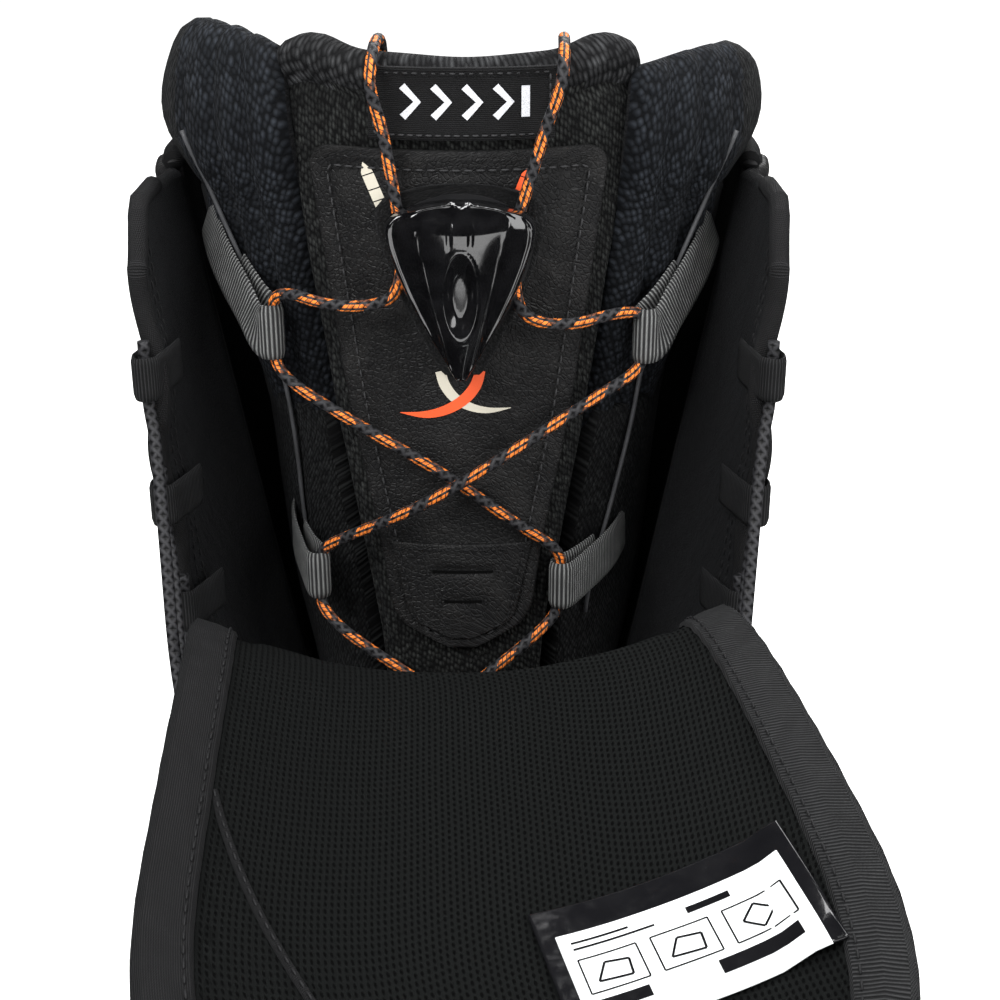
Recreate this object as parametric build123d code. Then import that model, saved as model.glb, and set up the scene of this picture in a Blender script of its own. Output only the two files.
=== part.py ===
"""A soft snowboard boot standing open: the outer tongue is folded forward, the eyestay wings are spread,
and the laced liner shows inside. One solid or group of solids per real piece, in millimetres.

Frame: +Z up, the toe points along -Y, the wearer's left is +X. The origin is the middle of the sole's
walking face, on the floor."""

from build123d import *
import math
import os

# ---------------------------------------------------------------- driving dimensions
SHELL_WALL = 4.5  # outer shell laminate
SHELL_TOP = 304.0  # top line of the shaft
SHELL_LOW_TOP = 150.0  # where the vamp and quarters end and the shaft begins
LINER_WALL = 11.0  # liner foam round the foot
CUFF_WALL = 15.0  # liner foam round the leg
CUFF_BASE = 240.0  # where the liner's padded cuffs begin
LINER_GAP = 1.3  # play between shell and liner
OVERLAY = 2.2  # toe cap, heel counter and spine stand this proud
TOE_SHIFT = 7.0  # a left boot's toe swings this far towards -X

LACE_D = 2.8  # liner lace
CORD_D = 3.0  # shell lace
WEB = 2.0  # webbing thickness
TONGUE_FACE = -45.0  # Y of the liner tongue's front face up the shin
TONGUE_FOAM = 12.0
TONGUE_RADIUS = 72.0  # its curve round the shin
PATCH = 1.5  # leather patch on the liner tongue

WING_LENGTH = 42.0  # eyestay wing, from its flex line to its front edge
WING_TOP = 302.0
FLEX_Y = -8.0  # the wings' flex line
FLEX_LOW = (46.8, 152.0)  # its X and Z at the bottom
FLEX_HIGH = (74.2, 304.0)  # and at the top
FLEX_R = 2.6

FOLD = (-90.6, 187.9)  # Y and Z of the outer tongue's fold line
FOLD_SKEW = 3.0  # degrees that the folded tongue swings towards +X
FOLD_R = 2.6
FOLD_LENGTH = 34.0
THROAT = (-100.0, 99.0)  # Y and Z of the seam that holds the outer tongue
TONGUE_PAD = 6.0
TONGUE_SKIN = 2.4

LOCK_Z = (263.0, 302.0)  # lace lock, tip and shoulder
LOCK_HALF = 17.5
LOCK_X = 0.7

HANDLE_Y = 46.0
HANDLE_TRAVEL = 22.0
HANDLE_SLOPE = 11.0  # degrees that the shaft's side leans out

#          z    front  back  half width  widest y
SHELL = [
    (18.0, -154.0, 149.0, 53.0, -55.0),
    (40.0, -156.0, 151.0, 54.0, -55.0),
    (60.0, -153.0, 151.0, 54.0, -52.0),
    (76.0, -142.0, 150.0, 53.0, -45.0),
    (88.0, -120.0, 149.0, 51.5, -35.0),
    (98.0, -94.0, 148.0, 50.0, -20.0),
    (110.0, -74.0, 146.0, 49.0, -5.0),
    (126.0, -58.0, 142.0, 49.5, 10.0),
    (152.0, -46.0, 136.0, 52.0, 20.0),
    (185.0, -42.0, 128.0, 60.0, 20.0),
    (225.0, -44.0, 121.0, 67.0, 18.0),
    (262.0, -46.0, 116.0, 74.0, 16.0),
    (304.0, -50.0, 112.0, 79.0, 12.0),
]
LINER = [
    (24.0, -146.0, 143.0, 47.0, -55.0),
    (40.0, -149.5, 145.0, 48.2, -55.0),
    (60.0, -145.0, 145.0, 48.2, -52.0),
    (72.0, -132.0, 144.0, 47.0, -45.0),
    (82.0, -114.0, 143.0, 45.5, -35.0),
    (91.0, -90.0, 142.0, 44.0, -20.0),
    (104.0, -69.0, 139.5, 43.0, -5.0),
    (122.0, -53.0, 136.0, 43.5, 10.0),
    (150.0, -41.0, 130.0, 46.0, 20.0),
    (185.0, -38.0, 121.5, 52.0, 20.0),
    (238.0, -40.0, 112.0, 56.0, 15.0),
    (277.0, -44.0, 107.0, 67.0, 8.0),
    (300.0, -48.0, 105.0, 70.5, 6.0),
    (318.0, -50.0, 104.0, 78.0, 5.0),
    (332.0, -47.0, 101.0, 74.0, 5.0),
    (342.0, -38.0, 93.0, 64.0, 5.0),
]
# side view of the sole: Y, then Z of the midsole's top and of the outsole's top
SOLE_SIDE = [
    (-172.0, 43.0, 25.0),
    (-150.0, 34.5, 17.0),
    (-120.0, 29.0, 12.5),
    (-80.0, 26.5, 11.0),
    (-30.0, 27.0, 11.0),
    (30.0, 29.0, 11.5),
    (90.0, 32.0, 12.0),
    (165.0, 35.5, 12.5),
]
RING_POINTS = 24


# ---------------------------------------------------------------- outlines and lofts
def between(table, z):
    """A row of a table at height z, straight between its rows."""
    if z <= table[0][0]:
        return table[0][1:]
    for low, high in zip(table, table[1:]):
        if z <= high[0]:
            share = (z - low[0]) / (high[0] - low[0])
            return tuple(a + share * (b - a) for a, b in zip(low[1:], high[1:]))
    return table[-1][1:]


def toe_swing(y):
    """How far the foot's centre line stands towards -X at y."""
    return -TOE_SHIFT * (y / 158.0) ** 2 if y < 0 else 0.0


def squareness(z):
    """The outline's exponent: square at the sole, rounder up the shaft."""
    return 2.2 + 0.4 * max(0.0, min(1.0, (120.0 - z) / 90.0))


def ring_point(row, z, angle):
    front, back, half, widest = row
    power = 2.0 / squareness(z)
    s, c = math.sin(angle), math.cos(angle)
    x = half * math.copysign(abs(s) ** power, s)
    reach = widest - front if c > 0 else back - widest
    y = widest - reach * math.copysign(abs(c) ** power, c)
    swing = max(0.0, min(1.0, (130.0 - z) / 40.0))
    waist = 1.0 - 0.10 * swing * math.exp(-(((y - 30.0) / 48.0) ** 2))
    return Vector(x * waist + swing * toe_swing(y), y, z)


def ring(row, z, grow=0.0):
    front, back, half, widest = row
    grown = (front - grow, back + grow, half + grow, widest)
    points = [ring_point(grown, z, 2 * math.pi * i / RING_POINTS) for i in range(RING_POINTS)]
    return make_face(Polyline(*points, close=True)).face()


def body_of_rings(table, low, high, grow=0.0, lift=0.0):
    """The loft of a table's outlines between two heights. lift lowers the front line, as a toe box needs."""
    heights = [low] + [row[0] for row in table if low + 0.5 < row[0] < high - 0.5] + [high]
    faces = []
    for z in heights:
        front = between(table, z + lift * max(0.0, min(1.0, (130.0 - z) / 30.0)))[0]
        row = (front,) + between(table, z)[1:]
        faces.append(ring(row, z, grow))
    return loft(faces, ruled=True)


def prism_x(points, half=120.0):
    """A polygon of Y, Z points, stretched along X."""
    face = make_face(Polyline(*[(0, y, z) for y, z in points], close=True))
    return extrude(face, amount=half, dir=(1, 0, 0), both=True)


def prism_y(points, y0, y1):
    """A polygon of X, Z points, stretched from y0 to y1."""
    face = make_face(Polyline(*[(x, y0, z) for x, z in points], close=True))
    return extrude(face, amount=y1 - y0, dir=(0, 1, 0))


def under_curve(column, lift=0.0):
    """Everything below a line of SOLE_SIDE."""
    points = [(row[0], row[column] + lift) for row in SOLE_SIDE]
    return prism_x(points + [(points[-1][0], -60), (points[0][0], -60)])


def mirrored(shape):
    return mirror(shape, about=Plane.YZ)


def liner_front(x, z, grow=0.0):
    """Y of the liner's outer face at x, z."""
    front, _, half, widest = between(LINER, z)
    n = squareness(z)
    return widest - (widest - front + grow) * (1 - min(1.0, abs(x) / (half + grow)) ** n) ** (1 / n)


# ---------------------------------------------------------------- sole
def plan_prism(grow):
    row = between(SHELL, 40.0)
    return extrude(ring(row, 40.0, grow), amount=80, dir=(0, 0, 1), both=True)


def outsole():
    toe = Spline((0, -172, 18), (0, -150, 7.5), (0, -125, 1.8), (0, -105, 0), tangents=[(0, 1, -0.5), (0, 1, 0)])
    heel = Spline((0, 128, 0), (0, 165, 5), tangents=[(0, 1, 0), (0, 1, 0.25)])
    flat = Line((0, -105, 0), (0, 128, 0))
    rest = Polyline((0, 165, 5), (0, 165, -60), (0, -172, -60), (0, -172, 18))
    below = extrude(make_face(Curve() + [toe, flat, heel, rest]), amount=120, dir=(1, 0, 0), both=True)
    sole = plan_prism(3.0) & under_curve(2)
    sole -= below
    groove_depth, groove = 5.0, 5.5
    cuts = [Pos(0, y, 0) * Box(150, groove, 2 * groove_depth) for y in range(-118, -20, 19)]
    cuts += [Pos(0, y, 0) * Box(150, groove, 2 * groove_depth) for y in range(44, 125, 19)]
    cuts += [Pos(x, -74, 0) * Box(groove, 108, 2 * groove_depth) for x in (-18, 18)]
    cuts += [Pos(0, 92, 0) * Box(groove, 92, 2 * groove_depth)]
    return sole - cuts


def midsole():
    return plan_prism(1.5) & (under_curve(1) - under_curve(2))


def insole_board():
    return plan_prism(-SHELL_WALL - 1.9) & (under_curve(1, 2.4) - under_curve(1, 0.1))


# ---------------------------------------------------------------- outer shell, fixed part
VAMP_BACK = -34.0


def lower_shell():
    outer = body_of_rings(SHELL, 18, SHELL_LOW_TOP)
    inner = body_of_rings(SHELL, 10, SHELL_LOW_TOP + 2, -SHELL_WALL, SHELL_WALL)
    throat = prism_y([(-30, 92), (30, 92), (40, SHELL_LOW_TOP + 5), (-40, SHELL_LOW_TOP + 5)], -160, 10)
    throat &= prism_x([(-93, 60), (-93, 200), (60, 200), (60, 60)])
    return outer - inner - throat - under_curve(1)


def toe_cap():
    cap = body_of_rings(SHELL, 18, 96, OVERLAY) - body_of_rings(SHELL, 17, 97)
    return (cap & prism_x([(-180, 10), (-104, 10), (-122, 110), (-180, 110)])) - under_curve(1)


def heel_counter():
    cup = body_of_rings(SHELL, 18, 112, OVERLAY) - body_of_rings(SHELL, 17, 113)
    return (cup & prism_x([(60, 10), (180, 10), (180, 108), (124, 108), (92, 70), (66, 52)])) - under_curve(1)


def shaft():
    """The back and sides of the shaft, as far forward as the wings' flex lines."""
    outer = body_of_rings(SHELL, SHELL_LOW_TOP + 0.2, SHELL_TOP)
    inner = body_of_rings(SHELL, SHELL_LOW_TOP - 3, SHELL_TOP + 2, -SHELL_WALL)
    edge = FLEX_Y + FLEX_R + 0.1
    keep = prism_x([(edge, 140), (160, 140), (160, 282), (90, 290), (40, SHELL_TOP), (edge, SHELL_TOP)])
    return (outer - inner) & keep


def spine():
    bar = body_of_rings(SHELL, SHELL_LOW_TOP - 34, 284, OVERLAY) - body_of_rings(SHELL, 110, 290)
    return bar & prism_y([(-26, 116), (26, 116), (17, 284), (-17, 284)], 60, 160)


def rear_pull_loop():
    loop = Pos(0, 121.5, 279) * Box(22, 10, 34) - Pos(0, 121.5, 279) * Box(24, 5.6, 29.6)
    loop = fillet(loop.edges().filter_by(Axis.X).group_by(Axis.Y)[-1], 2.5)
    return loop - body_of_rings(SHELL, 240, SHELL_TOP + 2, OVERLAY + 0.1)


# ---------------------------------------------------------------- eyestay wings
def flex_x(z):
    share = (z - FLEX_LOW[1]) / (FLEX_HIGH[1] - FLEX_LOW[1])
    return FLEX_LOW[0] + share * (FLEX_HIGH[0] - FLEX_LOW[0])


#        z     outward angle of the wing at that height
WING_SPREAD = [(154.0, 17.0), (178.0, 23.0), (228.0, 19.0), (262.0, 13.0), (302.0, 3.0)]


def wing_point(z, along, across):
    """A point of the right wing: along it from the flex line, and across it from its middle, outwards."""
    angle = math.radians(between(WING_SPREAD, z)[0])
    bow = 3.0 * math.sin(math.pi * along / WING_LENGTH)
    x = flex_x(z) + along * math.sin(angle) + (across + bow) * math.cos(angle)
    y = FLEX_Y - along * math.cos(angle) + (across + bow) * math.sin(angle)
    return Vector(x, y, z)


def wing_section(z):
    half = SHELL_WALL / 2
    near, far = 4.2, WING_LENGTH
    mid = (near + far) / 2
    outer = ThreePointArc(wing_point(z, near, half), wing_point(z, mid, half), wing_point(z, far, half))
    inner = ThreePointArc(wing_point(z, far, -half), wing_point(z, mid, -half), wing_point(z, near, -half))
    return make_face(Curve() + [outer, Line(outer @ 1, inner @ 0), inner, Line(inner @ 1, outer @ 0)])


def right_wing():
    wing = loft([wing_section(row[0]) for row in WING_SPREAD], ruled=True)
    top_front = [(-80, 330), (-80, 286), (-49.5, 286), (-38, 302.5), (-30, 330)]
    foot_front = [(-90, 130), (-90, 186), (-52, 186), (-42, 160), (-30, 154), (-30, 130)]
    return wing - prism_x(top_front) - prism_x(foot_front)


def flex_roll():
    """The rolled fold that joins a wing to the shaft."""
    low = Vector(FLEX_LOW[0] + 0.5, FLEX_Y, 156)
    high = Vector(flex_x(298.0), FLEX_Y, 298)
    return Solid.make_cylinder(FLEX_R, (high - low).length, Plane(low, z_dir=high - low))


WING_LOOP_HEIGHTS = (262.0, 228.0, 198.0)


def wing_loops():
    """Three webbing loops along a wing's front edge, each an eye that the shell lace runs through."""
    loops = []
    for z in WING_LOOP_HEIGHTS:
        eye = wing_point(z, WING_LENGTH + 4.4, 0)
        tube = Pos(*eye) * Cylinder(3.6, 13)
        tube -= Pos(*eye) * Cylinder(2.0, 15)
        loops.append(tube)
    return loops


# ---------------------------------------------------------------- lower lacing guides
LOWER_GUIDES = [(-84.0, 104.0), (-69.0, 119.0), (-57.0, 137.0)]


def guide_place(y, z):
    return Vector(45.5 + 0.08 * (z - 104), y, z)


def lower_guides():
    guides = []
    for y, z in LOWER_GUIDES:
        eye = Pos(*guide_place(y, z)) * Rot(50, 0, 0) * Cylinder(4.0, 9)
        eye -= Pos(*guide_place(y, z)) * Rot(50, 0, 0) * Cylinder(2.1, 12)
        guides.append(eye - body_of_rings(SHELL, 70, 160, 0.1))
    return guides


# ---------------------------------------------------------------- cords
def tube_along(points, radii, diameter):
    """A round tube along straight runs joined by arcs."""
    path = FilletPolyline(*points, radius=radii)
    start = path.edges()[0]
    profile = Plane(start @ 0, z_dir=start % 0) * Circle(diameter / 2)
    return sweep(profile, path=path.wire() if hasattr(path, "wire") else Wire(path)), path.length


def runs_through_eye(run):
    return abs(run.X) + abs(run.Y) < 1e-6 and run.length > 9.5


def corner_radii(points, share=0.42):
    """The largest arc that each corner's two runs allow. Upright runs pass through eyes and stay straight."""
    radii = []
    for a, b, c in zip(points, points[1:], points[2:]):
        into, out = Vector(b) - Vector(a), Vector(c) - Vector(b)
        turn = math.radians(into.get_angle(out))
        room = share * min(into.length, out.length)
        if runs_through_eye(into) or runs_through_eye(out):
            room = min(room, 2.6)
        radii.append(room / math.tan(turn / 2))
    return radii


def report_cord(name, points, radii, shape, length, diameter):
    want = math.pi * diameter**2 / 4 * length
    print(name, "length", round(length), "least radius", round(min(radii), 1), "volume share",
          round(shape.volume / want, 3))


def cord(name, points, diameter):
    radii = corner_radii(points)
    shape, length = tube_along(points, radii, diameter)
    report_cord(name, points, radii, shape, length, diameter)
    return shape


# the liner lace: from inside the lock, out to the upper eyes, crossing down and back up
LACE_Y = -51.35  # the strands' plane inside the lock
EYE_Y = -38.5  # the upper webbing loops' eyes
LACE_ROUTE = [
    (-13.4, LACE_Y, 292.0),
    (-13.4, LACE_Y, 285.0),
    (-17.5, LACE_Y, 279.5),
    (-31.0, -49.6, 278.5),
    (-43.0, -42.6, 280.5),
    (-47.0, EYE_Y, 276.0),
    (-47.0, EYE_Y, 262.0),
    (-43.4, -42.4, 256.8),
    (-24.0, -49.4, 247.0),
    (-2.8, -50.8, 234.5),
    (14.0, -48.8, 220.5),
    (23.8, -46.0, 213.0),
    (26.0, -44.4, 208.5),
    (26.0, -44.4, 194.5),
    (21.0, -47.0, 188.5),
    (6.0, -52.6, 178.0),
    (-9.0, -54.8, 166.5),
    (-17.5, -56.2, 158.0),
    (-16.0, -59.6, 150.5),
    (0.0, -62.6, 148.5),
    (16.0, -60.4, 151.0),
    (17.5, -57.4, 159.0),
    (8.0, -59.0, 166.5),
    (-8.0, -57.4, 177.0),
    (-30.0, -49.2, 188.5),
    (-36.6, -43.6, 193.0),
    (-37.6, -41.6, 197.0),
    (-37.6, -41.6, 209.5),
    (-31.0, -46.0, 215.0),
    (-16.0, -52.6, 224.0),
    (-2.8, -54.6, 232.0),
    (12.0, -53.4, 241.5),
    (36.0, -46.4, 255.5),
    (44.4, -40.2, 258.5),
    (46.4, EYE_Y, 263.0),
    (46.4, EYE_Y, 273.0),
    (40.0, -43.4, 275.5),
    (27.0, -49.4, 273.5),
    (16.5, LACE_Y, 275.5),
    (13.4, LACE_Y, 282.0),
    (13.4, LACE_Y, 292.0),
]


def liner_lace():
    return cord("liner_lace", LACE_ROUTE, LACE_D)


def lace_rise(side):
    """One strand from inside the lock up over the tongue's rolled top, to its anchor behind."""
    foot, head, behind = ((-13.4, 292.0), (-19.4, 337.0), -24.6) if side < 0 else ((13.4, 292.0), (24.6, 337.0), -22.6)
    lean = (head[0] - foot[0]) / 40.0
    points = [
        (foot[0], LACE_Y, foot[1]),
        (foot[0], LACE_Y, 298.0),
        (foot[0] + lean * 12, -51.0, 309.0),
        (foot[0] + lean * 26, -50.0, 322.0),
        (head[0] - 0.6, -51.0, 335.0),
        (head[0], -49.8, 344.0),
        (head[0] + 0.3, -42.5, 347.6),
        (head[0] + 0.6, behind - 5.6, 347.8),
        (head[0] + 0.9, behind + 0.4, 343.0),
        (head[0] + 1.0, behind, 330.0),
    ]
    return cord("lace_rise", points, LACE_D)


def shell_lace_route():
    """Black lace through the wings' eyes: each crossing hangs under the folded tongue."""
    points = []
    side = -1
    for z in WING_LOOP_HEIGHTS:
        for sign in (side, -side):
            eye = wing_point(z, WING_LENGTH + 4.4, 0)
            x, y = sign * eye.X, eye.Y
            if sign == side:
                points += [(x, y, z + 9.0), (x, y, z - 8.0), (x * 0.97, y - 5, z - 16.0)]
                low_y, low_z = -104.0 - 0.10 * (z - 198), 168.0 - 0.12 * (262 - z)
                points += [(side * 66.0, low_y + 13, low_z + 8), (side * 44.0, low_y, low_z)]
                points += [(0.0, low_y - 3, low_z - 3)]
                points += [(-side * 44.0, low_y, low_z), (-side * 66.0, low_y + 13, low_z + 8)]
            else:
                points += [(x * 0.97, y - 5, z - 16.0), (x, y, z - 8.0), (x, y, z + 9.0)]
        side = -side
    return points


def shell_laces():
    """One crossing for each pair of wing eyes, ending in the eyes."""
    crossings = []
    route = shell_lace_route()
    per = len(route) // len(WING_LOOP_HEIGHTS)
    for i in range(len(WING_LOOP_HEIGHTS)):
        crossings.append(cord(f"shell_lace_{i}", route[i * per : (i + 1) * per], CORD_D))
    return crossings


def foot_front(z):
    """The outer tongue's foot at height z: its lining's Y, half width and trough radius."""
    rows = [(path[0][1], path[0][0], path[2] - 2.6, path[3]) for path in TONGUE_PATH[: FOLD_FIRST + 1]]
    return between(rows, z)


def lower_laces():
    """Three crossings over the outer tongue's foot, between the lower guides."""
    crossings = []
    for y, z in LOWER_GUIDES:
        eye = guide_place(y, z)
        high = z + 6.4
        lining, half, radius = foot_front(high)
        over = lining - TONGUE_PAD - TONGUE_SKIN - 2.4
        sag = radius - math.sqrt(radius**2 - half**2)
        points = [(-eye.X, y + 3.06, z - 2.57), (-eye.X, y - 7.66, high)]
        points += [(-half - 4.8, lining + sag - 5.5, high + 0.6), (-half + 1.5, over + sag - 2.0, high + 0.8)]
        points += [(-half / 2, over + 0.18 * sag, high + 0.4), (0.0, over - 0.5, high)]
        points += [(-px, py, pz) for px, py, pz in reversed(points[:5])]
        crossings.append(cord("lower_lace", points, CORD_D))
    return crossings


# ---------------------------------------------------------------- liner
def liner_top_line():
    """Side view of the cuffs' top edge: highest beside the shin, lower at the back."""
    top = [(-80, 320), (-50, 328), (-35, 334), (-20, 338), (-5, 339.5), (15, 338), (35, 333.5), (60, 327), (85, 321)]
    return prism_x(top + [(105, 317.5), (140, 316), (140, 0), (-80, 0)])


#       z     half width of the liner's front opening
OPENING = [(112.0, 19.0), (150.0, 21.0), (185.0, 24.0), (240.0, 33.5), (300.0, 42.5), (345.0, 46.5)]


def liner_opening(grow=0.0):
    right = [(half + grow, z) for z, half in OPENING]
    left = [(-x, z) for x, z in reversed(right)]
    return prism_y(right + left, -130, 2)


def liner_boot():
    outer = body_of_rings(LINER, 24, CUFF_BASE)
    inner = body_of_rings(LINER, 20, CUFF_BASE + 3, -LINER_WALL, LINER_WALL - 2)
    inner -= under_curve(1, 3.0 + 7.0)
    return outer - inner - under_curve(1, 3.0) - liner_opening()


def liner_cuff(side):
    outer = body_of_rings(LINER, CUFF_BASE + 0.2, 342)
    inner = body_of_rings(LINER, CUFF_BASE - 3, 345, -CUFF_WALL)
    ring_shape = (outer - inner - liner_opening()) & liner_top_line()
    half = Pos(side * 60.1, 0, 290) * Box(120, 300, 140)
    return ring_shape & half


def footbed():
    front, back, half, widest = between(LINER, 44.0)
    plan = extrude(ring((front + 14, back, half, widest), 44.0, -LINER_WALL - 1.2), amount=60, dir=(0, 0, 1), both=True)
    return plan & (under_curve(1, 14.6) - under_curve(1, 10.1))


def liner_heel_loop():
    loop = Pos(0, 108.5, 303.5) * Box(20, 9, 24) - Pos(0, 108.5, 303.5) * Box(22, 4.8, 19.8)
    return loop - body_of_rings(LINER, 260, 342, 0.1)


def tongue_front(z):
    rows = [(112.0, -74.0), (130.0, -60.0), (150.0, -51.5), (185.0, -46.0), (215.0, -45.0), (350.0, TONGUE_FACE)]
    return between(rows, z)[0]


def tongue_section(z, half, grow=0.0, foam=TONGUE_FOAM):
    front = tongue_front(z) - grow
    back = tongue_front(z) + foam
    sag = TONGUE_RADIUS - math.sqrt(TONGUE_RADIUS**2 - half**2)
    outer = ThreePointArc((-half, front + sag, z), (0, front, z), (half, front + sag, z))
    inner = ThreePointArc((half, back + sag, z), (0, back, z), (-half, back + sag, z))
    return make_face(Curve() + [outer, Line(outer @ 1, inner @ 0), inner, Line(inner @ 1, outer @ 0)])


def tongue_layer(low, high, grow=0.0, foam=TONGUE_FOAM, inset=0.7):
    heights = [low, 130.0, 150.0, 185.0, 215.0, 260.0, 300.0, high]
    heights = [z for z in heights if low <= z <= high]
    return loft([tongue_section(z, between(OPENING, z)[0] - inset, grow, foam) for z in heights], ruled=True)


TONGUE_LOW, TONGUE_HIGH = 114.0, 330.0


def liner_tongue():
    return tongue_layer(TONGUE_LOW, TONGUE_HIGH)


def tongue_roll():
    """The padded roll along the tongue's top."""
    return tongue_layer(TONGUE_HIGH + 0.1, 343.0, 1.6, TONGUE_FOAM + 3)


#        z      half width of the patch
PATCH_SIDE = [(184.0, 12.0), (190.0, 17.0), (215.0, 20.5), (250.0, 27.5), (313.0, 36.0), (316.0, 33.0)]


def patch_outline(rows):
    right = [(half, z) for z, half in rows]
    return prism_y(right + [(-x, z) for x, z in reversed(right)], -90, -30)


def tongue_sheet(outline, low_grow, high_grow):
    outer = tongue_layer(TONGUE_LOW, TONGUE_HIGH, high_grow, TONGUE_FOAM, 0.7)
    inner = tongue_layer(TONGUE_LOW, TONGUE_HIGH, low_grow, TONGUE_FOAM + 5, 0.5) if low_grow else liner_tongue()
    return (outer - inner) & outline


def tongue_patch():
    return tongue_sheet(patch_outline(PATCH_SIDE), 0.0, PATCH)


def patch_foot():
    """The second leather layer at the patch's foot, with two slits."""
    rows = [(186.0, 9.0), (192.0, 14.5), (214.0, 18.5)]
    sheet = tongue_sheet(patch_outline(rows), PATCH + 0.05, PATCH + 1.2)
    slits = [Pos(0, -48, 206) * Box(15, 12, 1.2), Pos(0, -48, 197) * Box(10, 12, 1.2)]
    return sheet - slits


def tongue_tag():
    """The woven tag above the patch."""
    outline = [(-20.0, 317.5), (22.0, 317.5), (22.0, 329.8), (-20.0, 329.8)]
    return tongue_sheet(prism_y(outline, -90, -30), 0.0, 1.1)


def lace_anchors():
    """Stitched tabs behind the tongue's top that hold the lace ends."""
    tabs = []
    for x, y in ((-18.4, -24.6), (25.6, -22.6)):
        tab = Pos(x, y - 2.4, 325.6) * Box(11, 8.4, 8.6)
        tabs.append(tab - tongue_layer(TONGUE_LOW, TONGUE_HIGH, 0.0, TONGUE_FOAM + 0.1, 0.5))
    return tabs


def web_loop(eye, root, height):
    """A webbing loop on the liner: a strap from its stitched root, ending in an eye round the lace."""
    eye, root = Vector(*eye), Vector(*root)
    run = root - eye
    out = run.normalized()
    strap = Plane(origin=(eye + root) / 2 + out * 3.0, x_dir=out, z_dir=out.cross(Vector(0, 0, 1)))
    strap = strap * Box(run.length - 6.0, height, WEB)
    level = Vector(run.X, run.Y, 0).normalized()
    neck = Plane(origin=eye + level * 5.0 + Vector(0, 0, 0.6), x_dir=level, z_dir=level.cross(Vector(0, 0, 1)))
    strap = strap + neck * Box(6.0, 6.0, WEB)
    return [strap, Pos(*eye) * (Cylinder(2.9, 7.0) - Cylinder(1.75, 9.0)) - strap]


def web_root(x, z, side):
    """A place on the liner's front for a strap's root."""
    return (side * x, liner_front(x, z) - 4.2, z)


# ---------------------------------------------------------------- lace lock
def lock_outline(grow, y0, y1):
    """The lock's shield outline, X and Z, stretched along Y."""
    low, high = LOCK_Z
    half = LOCK_HALF + grow
    right = Spline((half, high - 7), (half - 2.5, high - 17), (half * 0.45, low + 9 - grow), (1.6, low - grow))
    cap = ThreePointArc((-(half - 3.4), high - 0.5 + grow, 0), (0, high + 4 + grow, 0), (half - 3.4, high - 0.5 + grow, 0))
    left = mirror(right, about=Plane.YZ)
    pieces = [right, left, cap]
    pieces.append(Line((half, high - 7), (half - 3.4, high - 0.5 + grow)))
    pieces.append(Line((-half, high - 7), (-(half - 3.4), high - 0.5 + grow)))
    pieces.append(Line((1.6, low - grow), (-1.6, low - grow)))
    face = make_face(Curve() + pieces)
    face = Plane(origin=(LOCK_X, y0, 0), x_dir=(1, 0, 0), z_dir=(0, -1, 0)) * face
    return extrude(face, amount=y1 - y0, dir=(0, 1, 0))


LOCK_BACK = TONGUE_FACE - PATCH - 0.4


def lock_pad():
    return lock_outline(1.6, LOCK_BACK - 1.6, LOCK_BACK)


def lock_base():
    """The lock's back plate, with the two ribs that the cover is pinned to."""
    plate = lock_outline(0.0, LOCK_BACK - 2.6, LOCK_BACK - 1.6)
    rib = Pos(LOCK_X, LOCK_BACK - 4.4, 266.5) * Box(3.0, 3.6, 3.4)
    return plate + rib + Pos(LOCK_X, LOCK_BACK - 4.4, 303) * Box(12, 3.6, 3.0)


def lock_cover():
    """The glossy shield: a domed cover, open behind for the two strands."""
    rim = LOCK_BACK - 6.3
    shield = lock_outline(0.0, rim - 6.0, rim)
    ridge = Pos(LOCK_X, rim - 6.0, 0) * prism_y([(-9, 304), (9, 304), (1.6, 266), (-1.6, 266)], -1.8, 0)
    hollow = Pos(LOCK_X, 0, 0) * prism_y([(-7, 297), (7, 297), (4, 281), (-4, 281)], rim - 4.2, rim + 1)
    dimple = Pos(LOCK_X, rim - 8.6, 286) * Rot(90, 0, 0) * extrude(SlotOverall(17, 7, rotation=90), amount=1.2, both=True)
    return shield + ridge - hollow - dimple


def lock_wedge():
    """The sprung toothed wedge that bites the strands."""
    rim = LOCK_BACK - 6.3
    wedge = Pos(LOCK_X, 0, 0) * prism_y([(-6.2, 294), (6.2, 294), (4.0, 284.5), (-4.0, 284.5)], rim - 3.8, rim + 2.8)
    return wedge


def lock_spring():
    """The small spring under the wedge's foot, as a plain sleeve."""
    return Pos(LOCK_X, LOCK_BACK - 8.6, 282.8) * (Cylinder(1.3, 3.0) - Cylinder(0.7, 4.0))


# ---------------------------------------------------------------- outer tongue
#        lining point Y, Z    direction up the tongue   half width  trough radius
TONGUE_PATH = [
    ((-97.0, 100.0), 84.0, 33.0, 80.0),
    ((-92.0, 135.0), 81.0, 42.0, 110.0),
    ((-86.0, 168.0), 82.0, 63.0, 130.0),
    ((-86.5, 189.0), 105.0, 67.0, 140.0),
    ((-96.0, 202.5), 150.0, 68.5, 145.0),
    ((-112.0, 205.6), 178.0, 70.0, 150.0),
    ((-150.0, 201.6), 187.0, 73.0, 150.0),
    ((-195.0, 195.4), 189.0, 75.0, 150.0),
    ((-222.0, 190.6), 190.0, 70.0, 150.0),
    ((-233.0, 188.6), 190.0, 60.0, 150.0),
]
FOLD_FIRST, FOLD_LAST = 2, 5  # rows of TONGUE_PATH where the bending zone begins and ends


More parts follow.
